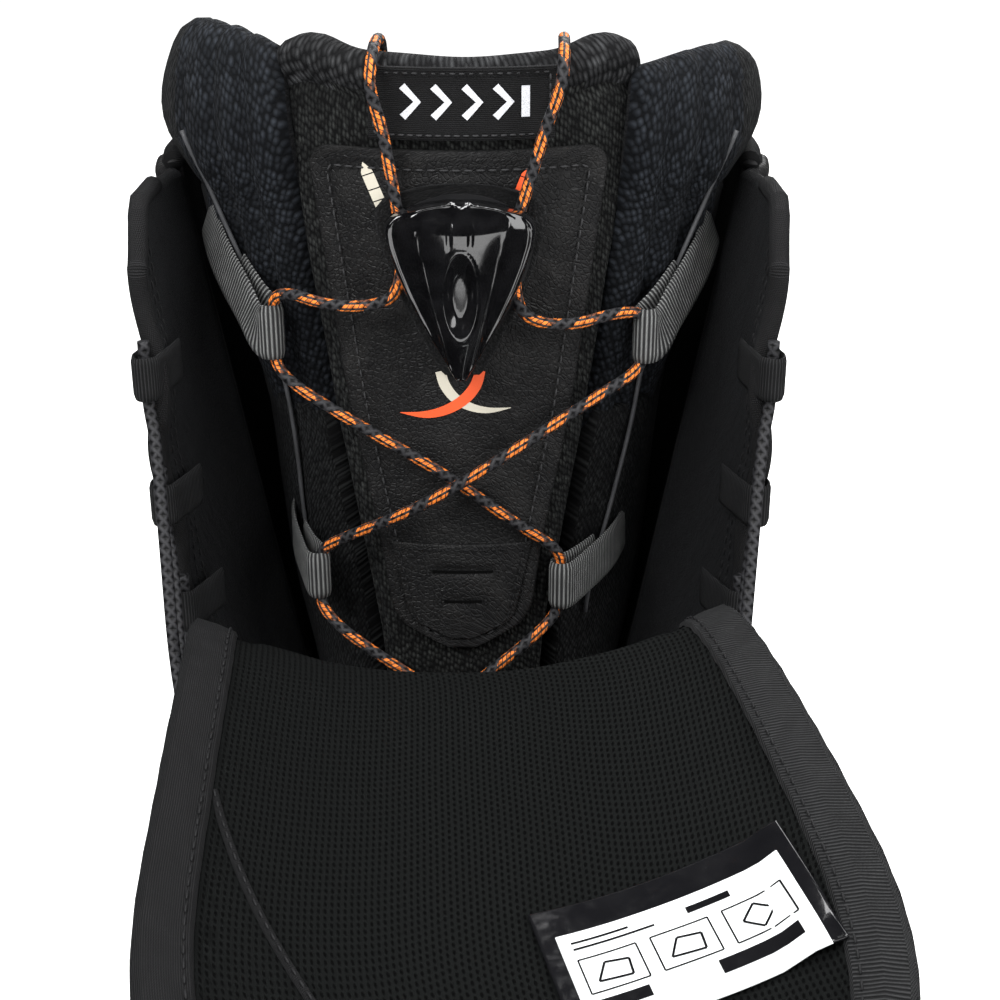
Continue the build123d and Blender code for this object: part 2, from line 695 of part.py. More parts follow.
def path_section(row, x0, x1, n0, n1, skew):
    """A slice of the outer tongue from x0 to x1, and n0 to n1 above its lining face."""
    (y, z), climb, _, radius = row
    turn = math.radians(climb)
    up = Vector(0, -math.cos(math.pi - turn), math.sin(turn))
    normal = Vector(0, math.sin(turn), -math.cos(turn))

    def place(x, n):
        return Vector(x, y, z) + normal * (radius - math.sqrt(radius**2 - x**2) + n)

    xm = (x0 + x1) / 2
    top = ThreePointArc(place(x0, n1), place(xm, n1), place(x1, n1))
    low = ThreePointArc(place(x1, n0), place(xm, n0), place(x0, n0))
    face = make_face(Curve() + [top, Line(top @ 1, low @ 0), low, Line(low @ 1, top @ 0)])
    if not skew:
        return face
    pivot = Location((0, -88, 0))
    return pivot * Rot(0, 0, skew) * pivot.inverse() * face


def path_loft(rows, inset, n0, n1, skewed, straight=True):
    skews = {2: 0.0, 3: FOLD_SKEW / 3, 4: 2 * FOLD_SKEW / 3}
    faces = []
    for i in rows:
        row = TONGUE_PATH[i]
        skew = skews.get(i, FOLD_SKEW) if skewed and i >= FOLD_FIRST else 0.0
        faces.append(path_section(row, inset - row[2], row[2] - inset, n0, n1, skew))
    return loft(faces, ruled=straight)


def tongue_foot(n0, n1, inset):
    return path_loft(range(0, FOLD_FIRST + 1), inset, n0, n1, False)


def tongue_bend():
    bend = path_loft(range(FOLD_FIRST, FOLD_LAST + 1), 2.6, -TONGUE_PAD - TONGUE_SKIN, 0, True, False)
    return bend - fold_cord(0.1)


def tongue_flap(n0, n1, inset):
    return path_loft(range(FOLD_LAST, len(TONGUE_PATH)), inset, n0, n1, True)


def tongue_binding():
    """Edge tape down both sides of the flap and across its tip."""
    tapes = []
    rows = range(FOLD_LAST, len(TONGUE_PATH))
    for side in (-1, 1):
        faces = []
        for i in rows:
            half = TONGUE_PATH[i][2]
            x0, x1 = sorted((side * (half - 2.5), side * half))
            faces.append(path_section(TONGUE_PATH[i], x0, x1, -TONGUE_PAD - TONGUE_SKIN - 0.6, 0.6, FOLD_SKEW))
        tapes.append(loft(faces, ruled=True))
    (y, z), climb, half, radius = TONGUE_PATH[-1]
    turn = math.radians(climb)
    tip_end = ((y - 2.6 * math.cos(math.pi - turn), z + 2.6 * math.sin(turn)), climb, half, radius)
    tip_start = ((y - 0.1, z), climb, half, radius)
    ends = [path_section(row, -half, half, -TONGUE_PAD - TONGUE_SKIN, 0, FOLD_SKEW) for row in (tip_start, tip_end)]
    tapes.append(loft(ends))
    return tapes


def tongue_label():
    rows = [((-193.5, 195.8), 189.0, 75.0, 150.0), ((-222.0, 190.9), 190.0, 70.0, 150.0)]
    return loft([path_section(row, 8.0, 56.0, 0.05, 0.8, FOLD_SKEW) for row in rows])


def fold_cord(grow=0.0):
    """The flex cord on the fold line, sewn inside the bend's padding."""
    turn = math.radians(FOLD_SKEW)
    axis = Vector(math.cos(turn), math.sin(turn), 0)
    half = FOLD_LENGTH / 2 + grow
    return Solid.make_cylinder(FOLD_R + grow, 2 * half, Plane(Vector(0, *FOLD) - axis * half, z_dir=axis))


# ---------------------------------------------------------------- pull handles
def handle_frame(side):
    """Where a handle's housing stands on the shaft's side: Z runs up the shaft's slope."""
    return Pos(side * 70.5, HANDLE_Y, 232.0) * Rot(0, side * HANDLE_SLOPE, 0)


def handle_housing(side):
    block = handle_frame(side) * fillet(Box(13, 24, 40).edges().filter_by(Axis.X), 6)
    bores = [handle_frame(side) * Pos(side * 3.2, y, 0) * Cylinder(2.0, 60) for y in (-5, 5)]
    return block - bores - body_of_rings(SHELL, 180, SHELL_TOP, 0.1)


def handle_grip(side):
    bar = fillet(Box(9, 46, 13).edges(), 3.5)
    return handle_frame(side) * Pos(side * 4.0, 0, 28.0) * bar


def handle_cords(side):
    return [handle_frame(side) * Pos(side * 3.2, y, 2.7) * Cylinder(CORD_D / 2, 37.4) for y in (-5, 5)]


# ---------------------------------------------------------------- write the parts
def write(name, *shapes):
    solids = []
    for shape in shapes:
        for one in shape if isinstance(shape, (list, tuple)) else [shape]:
            solids += one.solids()
    export_step(Compound(children=solids), f"parts/{name}.step")
    print(name, len(solids), [round(s.volume) for s in solids][:8])


def split(shape, y):
    """The shape's part in front of y, and the part behind it, 0.2 apart."""
    front = shape & Pos(0, y - 150.1, 100) * Box(300, 300, 300)
    return front, shape & Pos(0, y + 150.1, 100) * Box(300, 300, 300)


def write_shell():
    vamp, quarters = split(lower_shell(), VAMP_BACK)
    write("outsole", outsole())
    write("midsole", midsole())
    write("insole_board", insole_board())
    write("vamp", vamp)
    write("quarters", quarters)
    write("toe_cap", toe_cap())
    write("heel_counter", heel_counter())
    write("shaft", shaft())
    write("spine", spine() - heel_counter())
    write("rear_pull_loop", rear_pull_loop())
    guides = lower_guides()
    write("lower_lace_guides", guides, [mirrored(g) for g in guides])
    write("lower_lace", lower_laces())
    write("shell_lace", shell_laces())
    wing, loops, roll = right_wing(), wing_loops(), flex_roll()
    write("wing_right", wing)
    write("wing_left", mirrored(wing))
    write("wing_loops_right", loops)
    write("wing_loops_left", [mirrored(loop) for loop in loops])
    write("wing_flex_rolls", roll, mirrored(roll))


def write_liner():
    write("liner_boot", liner_boot())
    write("liner_cuff_left", liner_cuff(-1))
    write("liner_cuff_right", liner_cuff(1))
    write("footbed", footbed())
    write("liner_heel_loop", liner_heel_loop())
    write("liner_tongue", liner_tongue())
    write("tongue_roll", tongue_roll())
    write("tongue_patch", tongue_patch())
    write("patch_foot", patch_foot())
    write("tongue_tag", tongue_tag())
    write("lace_anchors", lace_anchors())
    write("web_loop_upper_left", web_loop((-47.0, EYE_Y, 269.0), web_root(63.0, 285.0, -1), 13.0))
    write("web_loop_upper_right", web_loop((46.4, EYE_Y, 268.0), web_root(62.0, 283.0, 1), 13.0))
    write("web_loop_middle_left", web_loop((-37.6, -41.6, 203.2), web_root(46.0, 208.0, -1), 12.5))
    write("web_loop_middle_right", web_loop((26.0, -44.4, 201.5), web_root(38.0, 207.0, 1), 12.5))
    write("liner_lace", liner_lace())
    write("lace_rise_left", lace_rise(-1))
    write("lace_rise_right", lace_rise(1))


def write_lock():
    write("lock_pad", lock_pad())
    write("lock_base", lock_base())
    write("lock_cover", lock_cover())
    write("lock_wedge", lock_wedge())
    write("lock_spring", lock_spring())


def write_tongue():
    full = -TONGUE_PAD - TONGUE_SKIN
    write("tongue_foot_padding", tongue_foot(-TONGUE_PAD, 0, 2.6))
    write("tongue_foot_skin", tongue_foot(full, -TONGUE_PAD - 0.1, 2.6))
    write("tongue_bend", tongue_bend())
    write("tongue_flap_padding", tongue_flap(-TONGUE_PAD, 0, 2.6))
    write("tongue_flap_skin", tongue_flap(full, -TONGUE_PAD - 0.1, 2.6))
    write("tongue_binding", tongue_binding())
    write("tongue_label", tongue_label())
    write("tongue_fold_cord", fold_cord())


def write_handles():
    for name, side in (("left", -1), ("right", 1)):
        write(f"handle_housing_{name}", handle_housing(side))
        write(f"handle_grip_{name}", handle_grip(side))
        write(f"handle_cords_{name}", handle_cords(side))


os.makedirs("parts", exist_ok=True)
write_shell()
write_liner()
write_lock()
write_tongue()
write_handles()
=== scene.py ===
"""Looks of the open snowboard boot. Lengths are in millimetres until a mesh is written, then metres."""

import math

import bmesh
import bpy
from mathutils import Matrix, Vector, noise


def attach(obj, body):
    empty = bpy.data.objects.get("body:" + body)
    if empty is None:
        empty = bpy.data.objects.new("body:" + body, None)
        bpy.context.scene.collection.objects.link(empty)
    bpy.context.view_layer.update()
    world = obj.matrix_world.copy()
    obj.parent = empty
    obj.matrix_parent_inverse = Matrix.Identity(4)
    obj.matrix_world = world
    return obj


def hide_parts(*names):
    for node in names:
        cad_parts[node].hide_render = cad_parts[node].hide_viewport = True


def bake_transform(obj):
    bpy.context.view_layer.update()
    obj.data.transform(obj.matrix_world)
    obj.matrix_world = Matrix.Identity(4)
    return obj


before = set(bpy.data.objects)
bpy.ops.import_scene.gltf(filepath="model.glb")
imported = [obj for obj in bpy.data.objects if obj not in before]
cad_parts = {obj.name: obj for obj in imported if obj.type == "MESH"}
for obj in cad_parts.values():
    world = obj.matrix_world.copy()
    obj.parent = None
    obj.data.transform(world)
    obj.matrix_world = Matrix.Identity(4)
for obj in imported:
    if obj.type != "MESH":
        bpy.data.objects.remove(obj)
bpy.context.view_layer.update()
scene = bpy.context.scene
MM = 0.001
SIDES = ((-1, "left"), (1, "right"))

# ---------------------------------------------------------------- sizes shared with the CAD
SHELL = [
    (18.0, -154.0, 149.0, 53.0, -55.0),
    (40.0, -156.0, 151.0, 54.0, -55.0),
    (60.0, -153.0, 151.0, 54.0, -52.0),
    (76.0, -142.0, 150.0, 53.0, -45.0),
    (88.0, -120.0, 149.0, 51.5, -35.0),
    (98.0, -94.0, 148.0, 50.0, -20.0),
    (110.0, -74.0, 146.0, 49.0, -5.0),
    (126.0, -58.0, 142.0, 49.5, 10.0),
    (152.0, -46.0, 136.0, 52.0, 20.0),
    (185.0, -42.0, 128.0, 60.0, 20.0),
    (225.0, -44.0, 121.0, 67.0, 18.0),
    (262.0, -46.0, 116.0, 74.0, 16.0),
    (304.0, -50.0, 112.0, 79.0, 12.0),
]
LINER = [
    (24.0, -146.0, 143.0, 47.0, -55.0),
    (40.0, -149.5, 145.0, 48.2, -55.0),
    (60.0, -145.0, 145.0, 48.2, -52.0),
    (72.0, -132.0, 144.0, 47.0, -45.0),
    (82.0, -114.0, 143.0, 45.5, -35.0),
    (91.0, -90.0, 142.0, 44.0, -20.0),
    (104.0, -69.0, 139.5, 43.0, -5.0),
    (122.0, -53.0, 136.0, 43.5, 10.0),
    (150.0, -41.0, 130.0, 46.0, 20.0),
    (185.0, -38.0, 121.5, 52.0, 20.0),
    (238.0, -40.0, 112.0, 56.0, 15.0),
    (277.0, -44.0, 107.0, 67.0, 8.0),
    (300.0, -48.0, 105.0, 70.5, 6.0),
    (318.0, -50.0, 104.0, 78.0, 5.0),
    (332.0, -47.0, 101.0, 74.0, 5.0),
    (342.0, -38.0, 93.0, 64.0, 5.0),
]
SOLE_SIDE = [
    (-172.0, 43.0, 25.0),
    (-150.0, 34.5, 17.0),
    (-120.0, 29.0, 12.5),
    (-80.0, 26.5, 11.0),
    (-30.0, 27.0, 11.0),
    (30.0, 29.0, 11.5),
    (90.0, 32.0, 12.0),
    (165.0, 35.5, 12.5),
]
OPENING = [(112.0, 19.0), (150.0, 21.0), (185.0, 24.0), (240.0, 33.5), (300.0, 42.5), (345.0, 46.5)]
WING_EYES = (262.0, 228.0, 198.0)  # heights of the wings' lace loops
WING_SPREAD = [(154.0, 17.0), (178.0, 23.0), (228.0, 19.0), (262.0, 13.0), (302.0, 3.0)]
FLEX_LOW, FLEX_HIGH, FLEX_Y, WING_LENGTH = (46.8, 152.0), (74.2, 304.0), -8.0, 42.0
TONGUE_PATH = [
    ((-97.0, 100.0), 33.0, 80.0),
    ((-92.0, 135.0), 42.0, 110.0),
    ((-86.0, 168.0), 63.0, 130.0),
    ((-86.5, 189.0), 67.0, 140.0),
    ((-96.0, 202.5), 68.5, 145.0),
    ((-112.0, 205.6), 70.0, 150.0),
    ((-150.0, 201.6), 73.0, 150.0),
    ((-195.0, 195.4), 75.0, 150.0),
    ((-222.0, 190.6), 70.0, 150.0),
    ((-233.0, 188.6), 60.0, 150.0),
]
LOBE_TOP = [(-80, 318.0), (-50, 329.0), (-38, 335.5), (-25, 338.2), (-12, 338.0), (0, 335.0), (15, 330.0),
    (35, 322.5), (60, 317.0), (85, 313.5), (105, 312.5), (140, 312.0)]
TONGUE_FRONT = [(112.0, -74.0), (130.0, -60.0), (150.0, -51.5), (185.0, -46.0), (215.0, -45.0), (350.0, -45.0)]
TONGUE_RADIUS = 72.0


# ---------------------------------------------------------------- small maths
def between(table, z):
    if z <= table[0][0]:
        return table[0][1:]
    for low, high in zip(table, table[1:]):
        if z <= high[0]:
            share = (z - low[0]) / (high[0] - low[0])
            return tuple(a + share * (b - a) for a, b in zip(low[1:], high[1:]))
    return table[-1][1:]


def eased(table, z):
    """A table's row at z, on a curve that never swings past its rows."""
    zs = [row[0] for row in table]
    if z <= zs[0]:
        return table[0][1:]
    if z >= zs[-1]:
        return table[-1][1:]
    i = max(k for k in range(len(zs) - 1) if zs[k] <= z)
    step = zs[i + 1] - zs[i]
    t = (z - zs[i]) / step
    out = []
    for column in range(1, len(table[0])):
        v = [row[column] for row in table]

        def slope(k):
            if k in (0, len(v) - 1):
                low, high = max(k - 1, 0), min(k + 1, len(v) - 1)
                return (v[high] - v[low]) / (zs[high] - zs[low])
            a = (v[k] - v[k - 1]) / (zs[k] - zs[k - 1])
            b = (v[k + 1] - v[k]) / (zs[k + 1] - zs[k])
            return 0.0 if a * b <= 0 else 2 * a * b / (a + b)

        m0, m1 = slope(i) * step, slope(i + 1) * step
        t2, t3 = t * t, t * t * t
        out.append((2 * t3 - 3 * t2 + 1) * v[i] + (t3 - 2 * t2 + t) * m0 + (-2 * t3 + 3 * t2) * v[i + 1]
            + (t3 - t2) * m1)
    return tuple(out)


def on_spline(rows, t):
    """The rows' values on a smooth curve through them, t rows from the first."""
    i = min(len(rows) - 2, max(0, int(t)))
    f = t - i
    near = rows[max(0, i - 1)], rows[i], rows[i + 1], rows[min(len(rows) - 1, i + 2)]
    return tuple(0.5 * (2 * b + (c - a) * f + (2 * a - 5 * b + 4 * c - d) * f * f + (3 * b - a - 3 * c + d) * f**3)
        for a, b, c, d in zip(*near))


def ramp(a, b, x):
    t = max(0.0, min(1.0, (x - a) / (b - a)))
    return t * t * (3 - 2 * t)


def bump(x, centre, width):
    return math.exp(-(((x - centre) / width) ** 2))


def rough(p, scale, seed=0.0):
    return noise.noise(Vector((p[0] / scale + seed, p[1] / scale - seed, p[2] / scale)))


def toe_swing(y):
    return -7.0 * (y / 158.0) ** 2 if y < 0 else 0.0


def squareness(z):
    return 2.2 + 0.4 * max(0.0, min(1.0, (120.0 - z) / 90.0))


def on_ring(table, z, angle, grow=0.0):
    front, back, half, widest = eased(table, z)
    front, back, half = front - grow, back + grow, half + grow
    power = 2.0 / squareness(z)
    s, c = math.sin(angle), math.cos(angle)
    x = half * math.copysign(abs(s) ** power, s)
    reach = widest - front if c > 0 else back - widest
    y = widest - reach * math.copysign(abs(c) ** power, c)
    swing = max(0.0, min(1.0, (130.0 - z) / 40.0))
    waist = 1.0 - 0.10 * swing * math.exp(-(((y - 30.0) / 48.0) ** 2))
    return Vector((x * waist + swing * toe_swing(y), y, z))


def angle_at_x(table, z, x, grow=0.0):
    """The angle, from the front, where the ring is x from the middle."""
    low, high = 0.0, math.pi / 2
    for _ in range(22):
        mid = (low + high) / 2
        low, high = (mid, high) if on_ring(table, z, mid, grow).x < x else (low, mid)
    return (low + high) / 2


def angle_at_y(table, z, y, grow=0.0):
    low, high = 0.0, math.pi
    for _ in range(22):
        mid = (low + high) / 2
        low, high = (mid, high) if on_ring(table, z, mid, grow).y < y else (low, mid)
    return (low + high) / 2


# ---------------------------------------------------------------- mesh making
def link(mesh, name):
    thing = bpy.data.objects.new(name, mesh)
    scene.collection.objects.link(thing)
    return thing


def mesh_piece(name, verts, faces, uvs=None, kinds=None, materials=(), smooth=True):
    """verts in mm. uvs: one (u, v) per vertex, in centimetres. kinds: a material number per face."""
    mesh = bpy.data.meshes.new(name)
    mesh.from_pydata([Vector(v) * MM for v in verts], [], faces)
    if uvs:
        layer = mesh.uv_layers.new(name="UVMap")
        for loop in mesh.loops:
            layer.data[loop.index].uv = uvs[loop.vertex_index]
    for material in materials:
        mesh.materials.append(material)
    if kinds:
        mesh.polygons.foreach_set("material_index", kinds)
    mesh.polygons.foreach_set("use_smooth", [smooth] * len(mesh.polygons))
    mesh.update()
    return link(mesh, name)


def clean(thing, distance=0.02):
    """Merges points that coincide, and turns the faces outwards."""
    work = bmesh.new()
    work.from_mesh(thing.data)
    bmesh.ops.remove_doubles(work, verts=work.verts, dist=distance * MM)
    bmesh.ops.dissolve_degenerate(work, edges=work.edges, dist=1e-7)
    bmesh.ops.recalc_face_normals(work, faces=work.faces)
    work.to_mesh(thing.data)
    work.free()
    thing.data.polygons.foreach_set("use_smooth", [True] * len(thing.data.polygons))
    return thing


def applied(thing):
    """Replaces the mesh by what its modifiers make of it."""
    graph = bpy.context.evaluated_depsgraph_get()
    mesh = bpy.data.meshes.new_from_object(thing.evaluated_get(graph), depsgraph=graph)
    old = thing.data
    thing.modifiers.clear()
    thing.data = mesh
    bpy.data.meshes.remove(old)
    return thing


def spread(length, radius, step):
    """Shares of a length, closer together near its ends, where the edge is rounded."""
    radius = min(radius, length / 3)
    ends = [radius * (1 - math.cos(math.radians(a))) for a in (0, 24, 44, 62, 78, 90)]
    count = max(2, round((length - 2 * radius) / step))
    middle = [radius + (length - 2 * radius) * i / count for i in range(1, count)]
    return [d / length for d in ends + middle + [length - e for e in reversed(ends)]]


def round_edge(distance, radius):
    t = min(1.0, max(0.0, distance / radius)) if radius > 0 else 1.0
    return math.sqrt(max(0.0, 1 - (1 - t) ** 2))


def lengths(points):
    out = [0.0]
    for a, b in zip(points, points[1:]):
        out.append(out[-1] + (b - a).length)
    return out


def pad(name, middle, us, vs, half, rounded, materials, top=None, low=None, flip=False):
    """A padded sheet. middle(u, v) is its mid surface, half its half thickness, a number or a function of u and v.
    rounded names the edges that are rounded, of "u0 u1 v0 v1". top and low raise its two faces: they get the
    distances along u and v in mm, then u and v."""
    grid = [[middle(u, v) for v in vs] for u in us]
    nu, nv = len(us), len(vs)
    along_v = [lengths(row) for row in grid]
    along_u = [lengths([grid[i][j] for i in range(nu)]) for j in range(nv)]
    tops, lows, uvs = [], [], []
    for i in range(nu):
        for j in range(nv):
            du = grid[min(i + 1, nu - 1)][j] - grid[max(i - 1, 0)][j]
            dv = grid[i][min(j + 1, nv - 1)] - grid[i][max(j - 1, 0)]
            normal = du.cross(dv)
            normal = normal.normalized() if normal.length > 1e-9 else Vector((0, 0, 1))
            if flip:
                normal = -normal
            thick = half(us[i], vs[j]) if callable(half) else half
            um, vm = along_u[j][i], along_v[i][j]
            share = 1.0
            for edge, distance in (("u0", um), ("u1", along_u[j][-1] - um), ("v0", vm), ("v1", along_v[i][-1] - vm)):
                if edge in rounded:
                    share *= round_edge(distance, thick)
            up = thick + (top(um, vm, us[i], vs[j]) if top else 0.0)
            down = thick + (low(um, vm, us[i], vs[j]) if low else 0.0)
            tops.append(grid[i][j] + normal * up * share)
            lows.append(grid[i][j] - normal * down * share)
            uvs.append((um / 10, vm / 10))
    count = nu * nv
    faces, kinds = [], []
    for i in range(nu - 1):
        for j in range(nv - 1):
            a, b, c, d = i * nv + j, (i + 1) * nv + j, (i + 1) * nv + j + 1, i * nv + j + 1
            faces += [(a, b, c, d), (count + d, count + c, count + b, count + a)]
            kinds += [0, len(materials) - 1]
    rim = [(i * nv, (i + 1) * nv) for i in range(nu - 1)] + [((i + 1) * nv + nv - 1,
        i * nv + nv - 1) for i in range(nu - 1)]
    rim += [(j + 1, j) for j in range(nv - 1)] + [((nu - 1) * nv + j, (nu - 1) * nv + j + 1) for j in range(nv - 1)]
    for a, b in rim:
        faces.append((a, a + count, b + count, b))
        kinds.append(0)
    return clean(mesh_piece(name, tops + lows, faces, uvs + uvs, kinds, materials))


def sheet_grid(name, point, us, vs, materials):
    """A single surface through point(u, v)."""
    grid = [[point(u, v) for v in vs] for u in us]
    nu, nv = len(us), len(vs)
    along_v = [lengths(row) for row in grid]
    along_u = [lengths([grid[i][j] for i in range(nu)]) for j in range(nv)]
    verts = [grid[i][j] for i in range(nu) for j in range(nv)]
    uvs = [(along_u[j][i] / 10, along_v[i][j] / 10) for i in range(nu) for j in range(nv)]
    faces = [(i * nv + j, (i + 1) * nv + j, (i + 1) * nv + j + 1,
        i * nv + j + 1) for i in range(nu - 1) for j in range(nv - 1)]
    return clean(mesh_piece(name, verts, faces, uvs, None, materials))


def steps(count):
    return [i / count for i in range(count + 1)]


def frames_along(points, up=Vector((0, 0, 1))):
    """Tangent and two sideways directions at each point, with no twist."""
    out, last = [], None
    for i, p in enumerate(points):
        tangent = (points[min(i + 1, len(points) - 1)] - points[max(i - 1, 0)]).normalized()
        side = tangent.cross(up) if last is None else last - tangent * last.dot(tangent)
        if side.length < 1e-6:
            side = tangent.orthogonal()
        last = side.normalized()
        out.append((tangent, last, tangent.cross(last)))
    return out


def tube(name, points, radius, material, around=12):
    """A round cord through points."""
    verts, uvs, faces = [], [], []
    far = lengths(points)
    for p, (_, side, lift), along in zip(points, frames_along(points), far):
        for k in range(around + 1):
            turn = 2 * math.pi * k / around
            verts.append(p + side * radius * math.cos(turn) + lift * radius * math.sin(turn))
            uvs.append((k / around, along / 10))
    ring = around + 1
    for i in range(len(points) - 1):
        for k in range(around):
            a = i * ring + k
            faces.append((a, a + 1, a + ring + 1, a + ring))
    start, end = len(verts), len(verts) + 1
    verts += [points[0], points[-1]]
    uvs += [(0.5, 0), (0.5, far[-1] / 10)]
    last = (len(points) - 1) * ring
    faces += [(start, k + 1, k) for k in range(around)] + [(end, last + k, last + k + 1) for k in range(around)]
    thing = mesh_piece(name, verts, faces, uvs, None, [material])
    return thing


def nurbs(points, resolution=10):
    """Points along the smooth cord line that a route makes."""
    curve = bpy.data.curves.new("route", "CURVE")
    curve.dimensions = "3D"
    curve.resolution_u = resolution
    spline = curve.splines.new("NURBS")
    spline.points.add(len(points) - 1)
    for spot, p in zip(spline.points, points):
        spot.co = (*p, 1.0)
    spline.order_u = 3
    spline.use_endpoint_u = True
    thing = bpy.data.objects.new("route", curve)
    scene.collection.objects.link(thing)
    mesh = bpy.data.meshes.new_from_object(thing)
    out = [v.co.copy() for v in mesh.vertices]
    bpy.data.objects.remove(thing)
    bpy.data.curves.remove(curve)
    bpy.data.meshes.remove(mesh)
    return out


def strap(name, points, wide, width, thick, material):
    """Webbing: a flat band through points, its width along wide, a vector or a list of them."""
    profile = []
    for k in range(9):
        profile.append((-width / 2 + width * k / 8, thick / 2 * (0.35 if k in (0, 8) else 1.0)))
    profile += [(w, -t) for w, t in reversed(profile)]
    verts, uvs, faces = [], [], []
    far = lengths(points)
    for i, (p, (tangent, _, _), along) in enumerate(zip(points, frames_along(points), far)):
        across = wide[i] if isinstance(wide, list) else wide
        across = (across - tangent * across.dot(tangent)).normalized()
        lift = tangent.cross(across)
        for w, t in profile:
            verts.append(p + across * w + lift * t)
            uvs.append((along / 10, w / 10))
    ring = len(profile)
    for i in range(len(points) - 1):
        for k in range(ring):
            a, b = i * ring + k, i * ring + (k + 1) % ring
            faces.append((a, b, b + ring, a + ring))
    faces += [tuple(range(ring)), tuple((len(points) - 1) * ring + k for k in reversed(range(ring)))]
    thing = mesh_piece(name, verts, faces, uvs, None, [material])
    return clean(thing, 0.001)


def stitches(name, path, normal, material, pitch=2.9, length=2.0, radius=0.28, rise=0.12):
    """Dashed thread along a path. normal is one vector or one for each path point."""
    far = lengths(path)
    verts, faces = [], []

    def at(distance):
        for i in range(len(path) - 1):
            if distance <= far[i + 1] or i == len(path) - 2:
                t = (distance - far[i]) / max(1e-9, far[i + 1] - far[i])
                n = normal if isinstance(normal, Vector) else normal[i].lerp(normal[i + 1], t)
                return path[i].lerp(path[i + 1], t), n.normalized()

    count = int(far[-1] / pitch)
    for k in range(count):
        a, na = at(k * pitch + 0.3)
        b, _ = at(k * pitch + 0.3 + length)
        run = (b - a).normalized()
        side = run.cross(na).normalized()
        base = len(verts)
        for t, size, lift in ((0, 0.35, -0.2), (0.18, 0.9, 0.4), (0.5, 1.0, 0.9), (0.82, 0.9, 0.4), (1, 0.35, -0.2)):
            centre = a.lerp(b, t) + na * (rise + radius * 0.5 * lift)
            for j in range(6):
                turn = math.pi * j / 3
                verts.append(centre + side * radius * size * math.cos(turn) + na * radius * size * math.sin(turn))
        for r in range(4):
            for j in range(6):
                p, q = base + r * 6 + j, base + r * 6 + (j + 1) % 6
                faces.append((p, q, q + 6, p + 6))
        faces += [tuple(base + j for j in reversed(range(6))), tuple(base + 24 + j for j in range(6))]
    return mesh_piece(name, verts, faces, None, None, [material])


def ribbon(name, line, surface, material, lift=0.25):
    """A printed or woven stroke: line is (s, t, width) in surface's own coordinates, surface(s, t, lift) a point."""
    verts, faces = [], []
    for i, (s, t, width) in enumerate(line):
        s0, t0, _ = line[max(i - 1, 0)]
        s1, t1, _ = line[min(i + 1, len(line) - 1)]
        run = Vector((s1 - s0, t1 - t0)).normalized()
        side = Vector((-run.y, run.x)) * width / 2
        for k in (-1, -0.5, 0, 0.5, 1):
            verts.append(surface(s + side.x * k, t + side.y * k, lift))
    for i in range(len(line) - 1):
        for k in range(4):
            a = i * 5 + k
            faces.append((a, a + 1, a + 6, a + 5))
    return mesh_piece(name, verts, faces, None, None, [material])


def join(name, things):
    """One piece out of several."""
    work = bmesh.new()
    materials = []
    for thing in things:
        slots = []
        for material in thing.data.materials:
            if material not in materials:
                materials.append(material)
            slots.append(materials.index(material))
        before = len(work.faces)
        work.from_mesh(thing.data)
        work.faces.ensure_lookup_table()
        for face in work.faces[before:]:
            face.material_index = slots[face.material_index] if slots else 0
    mesh = bpy.data.meshes.new(name)
    work.to_mesh(mesh)
    work.free()
    for material in materials:
        mesh.materials.append(material)
    for thing in things:
        bpy.data.objects.remove(thing)
    return link(mesh, name)


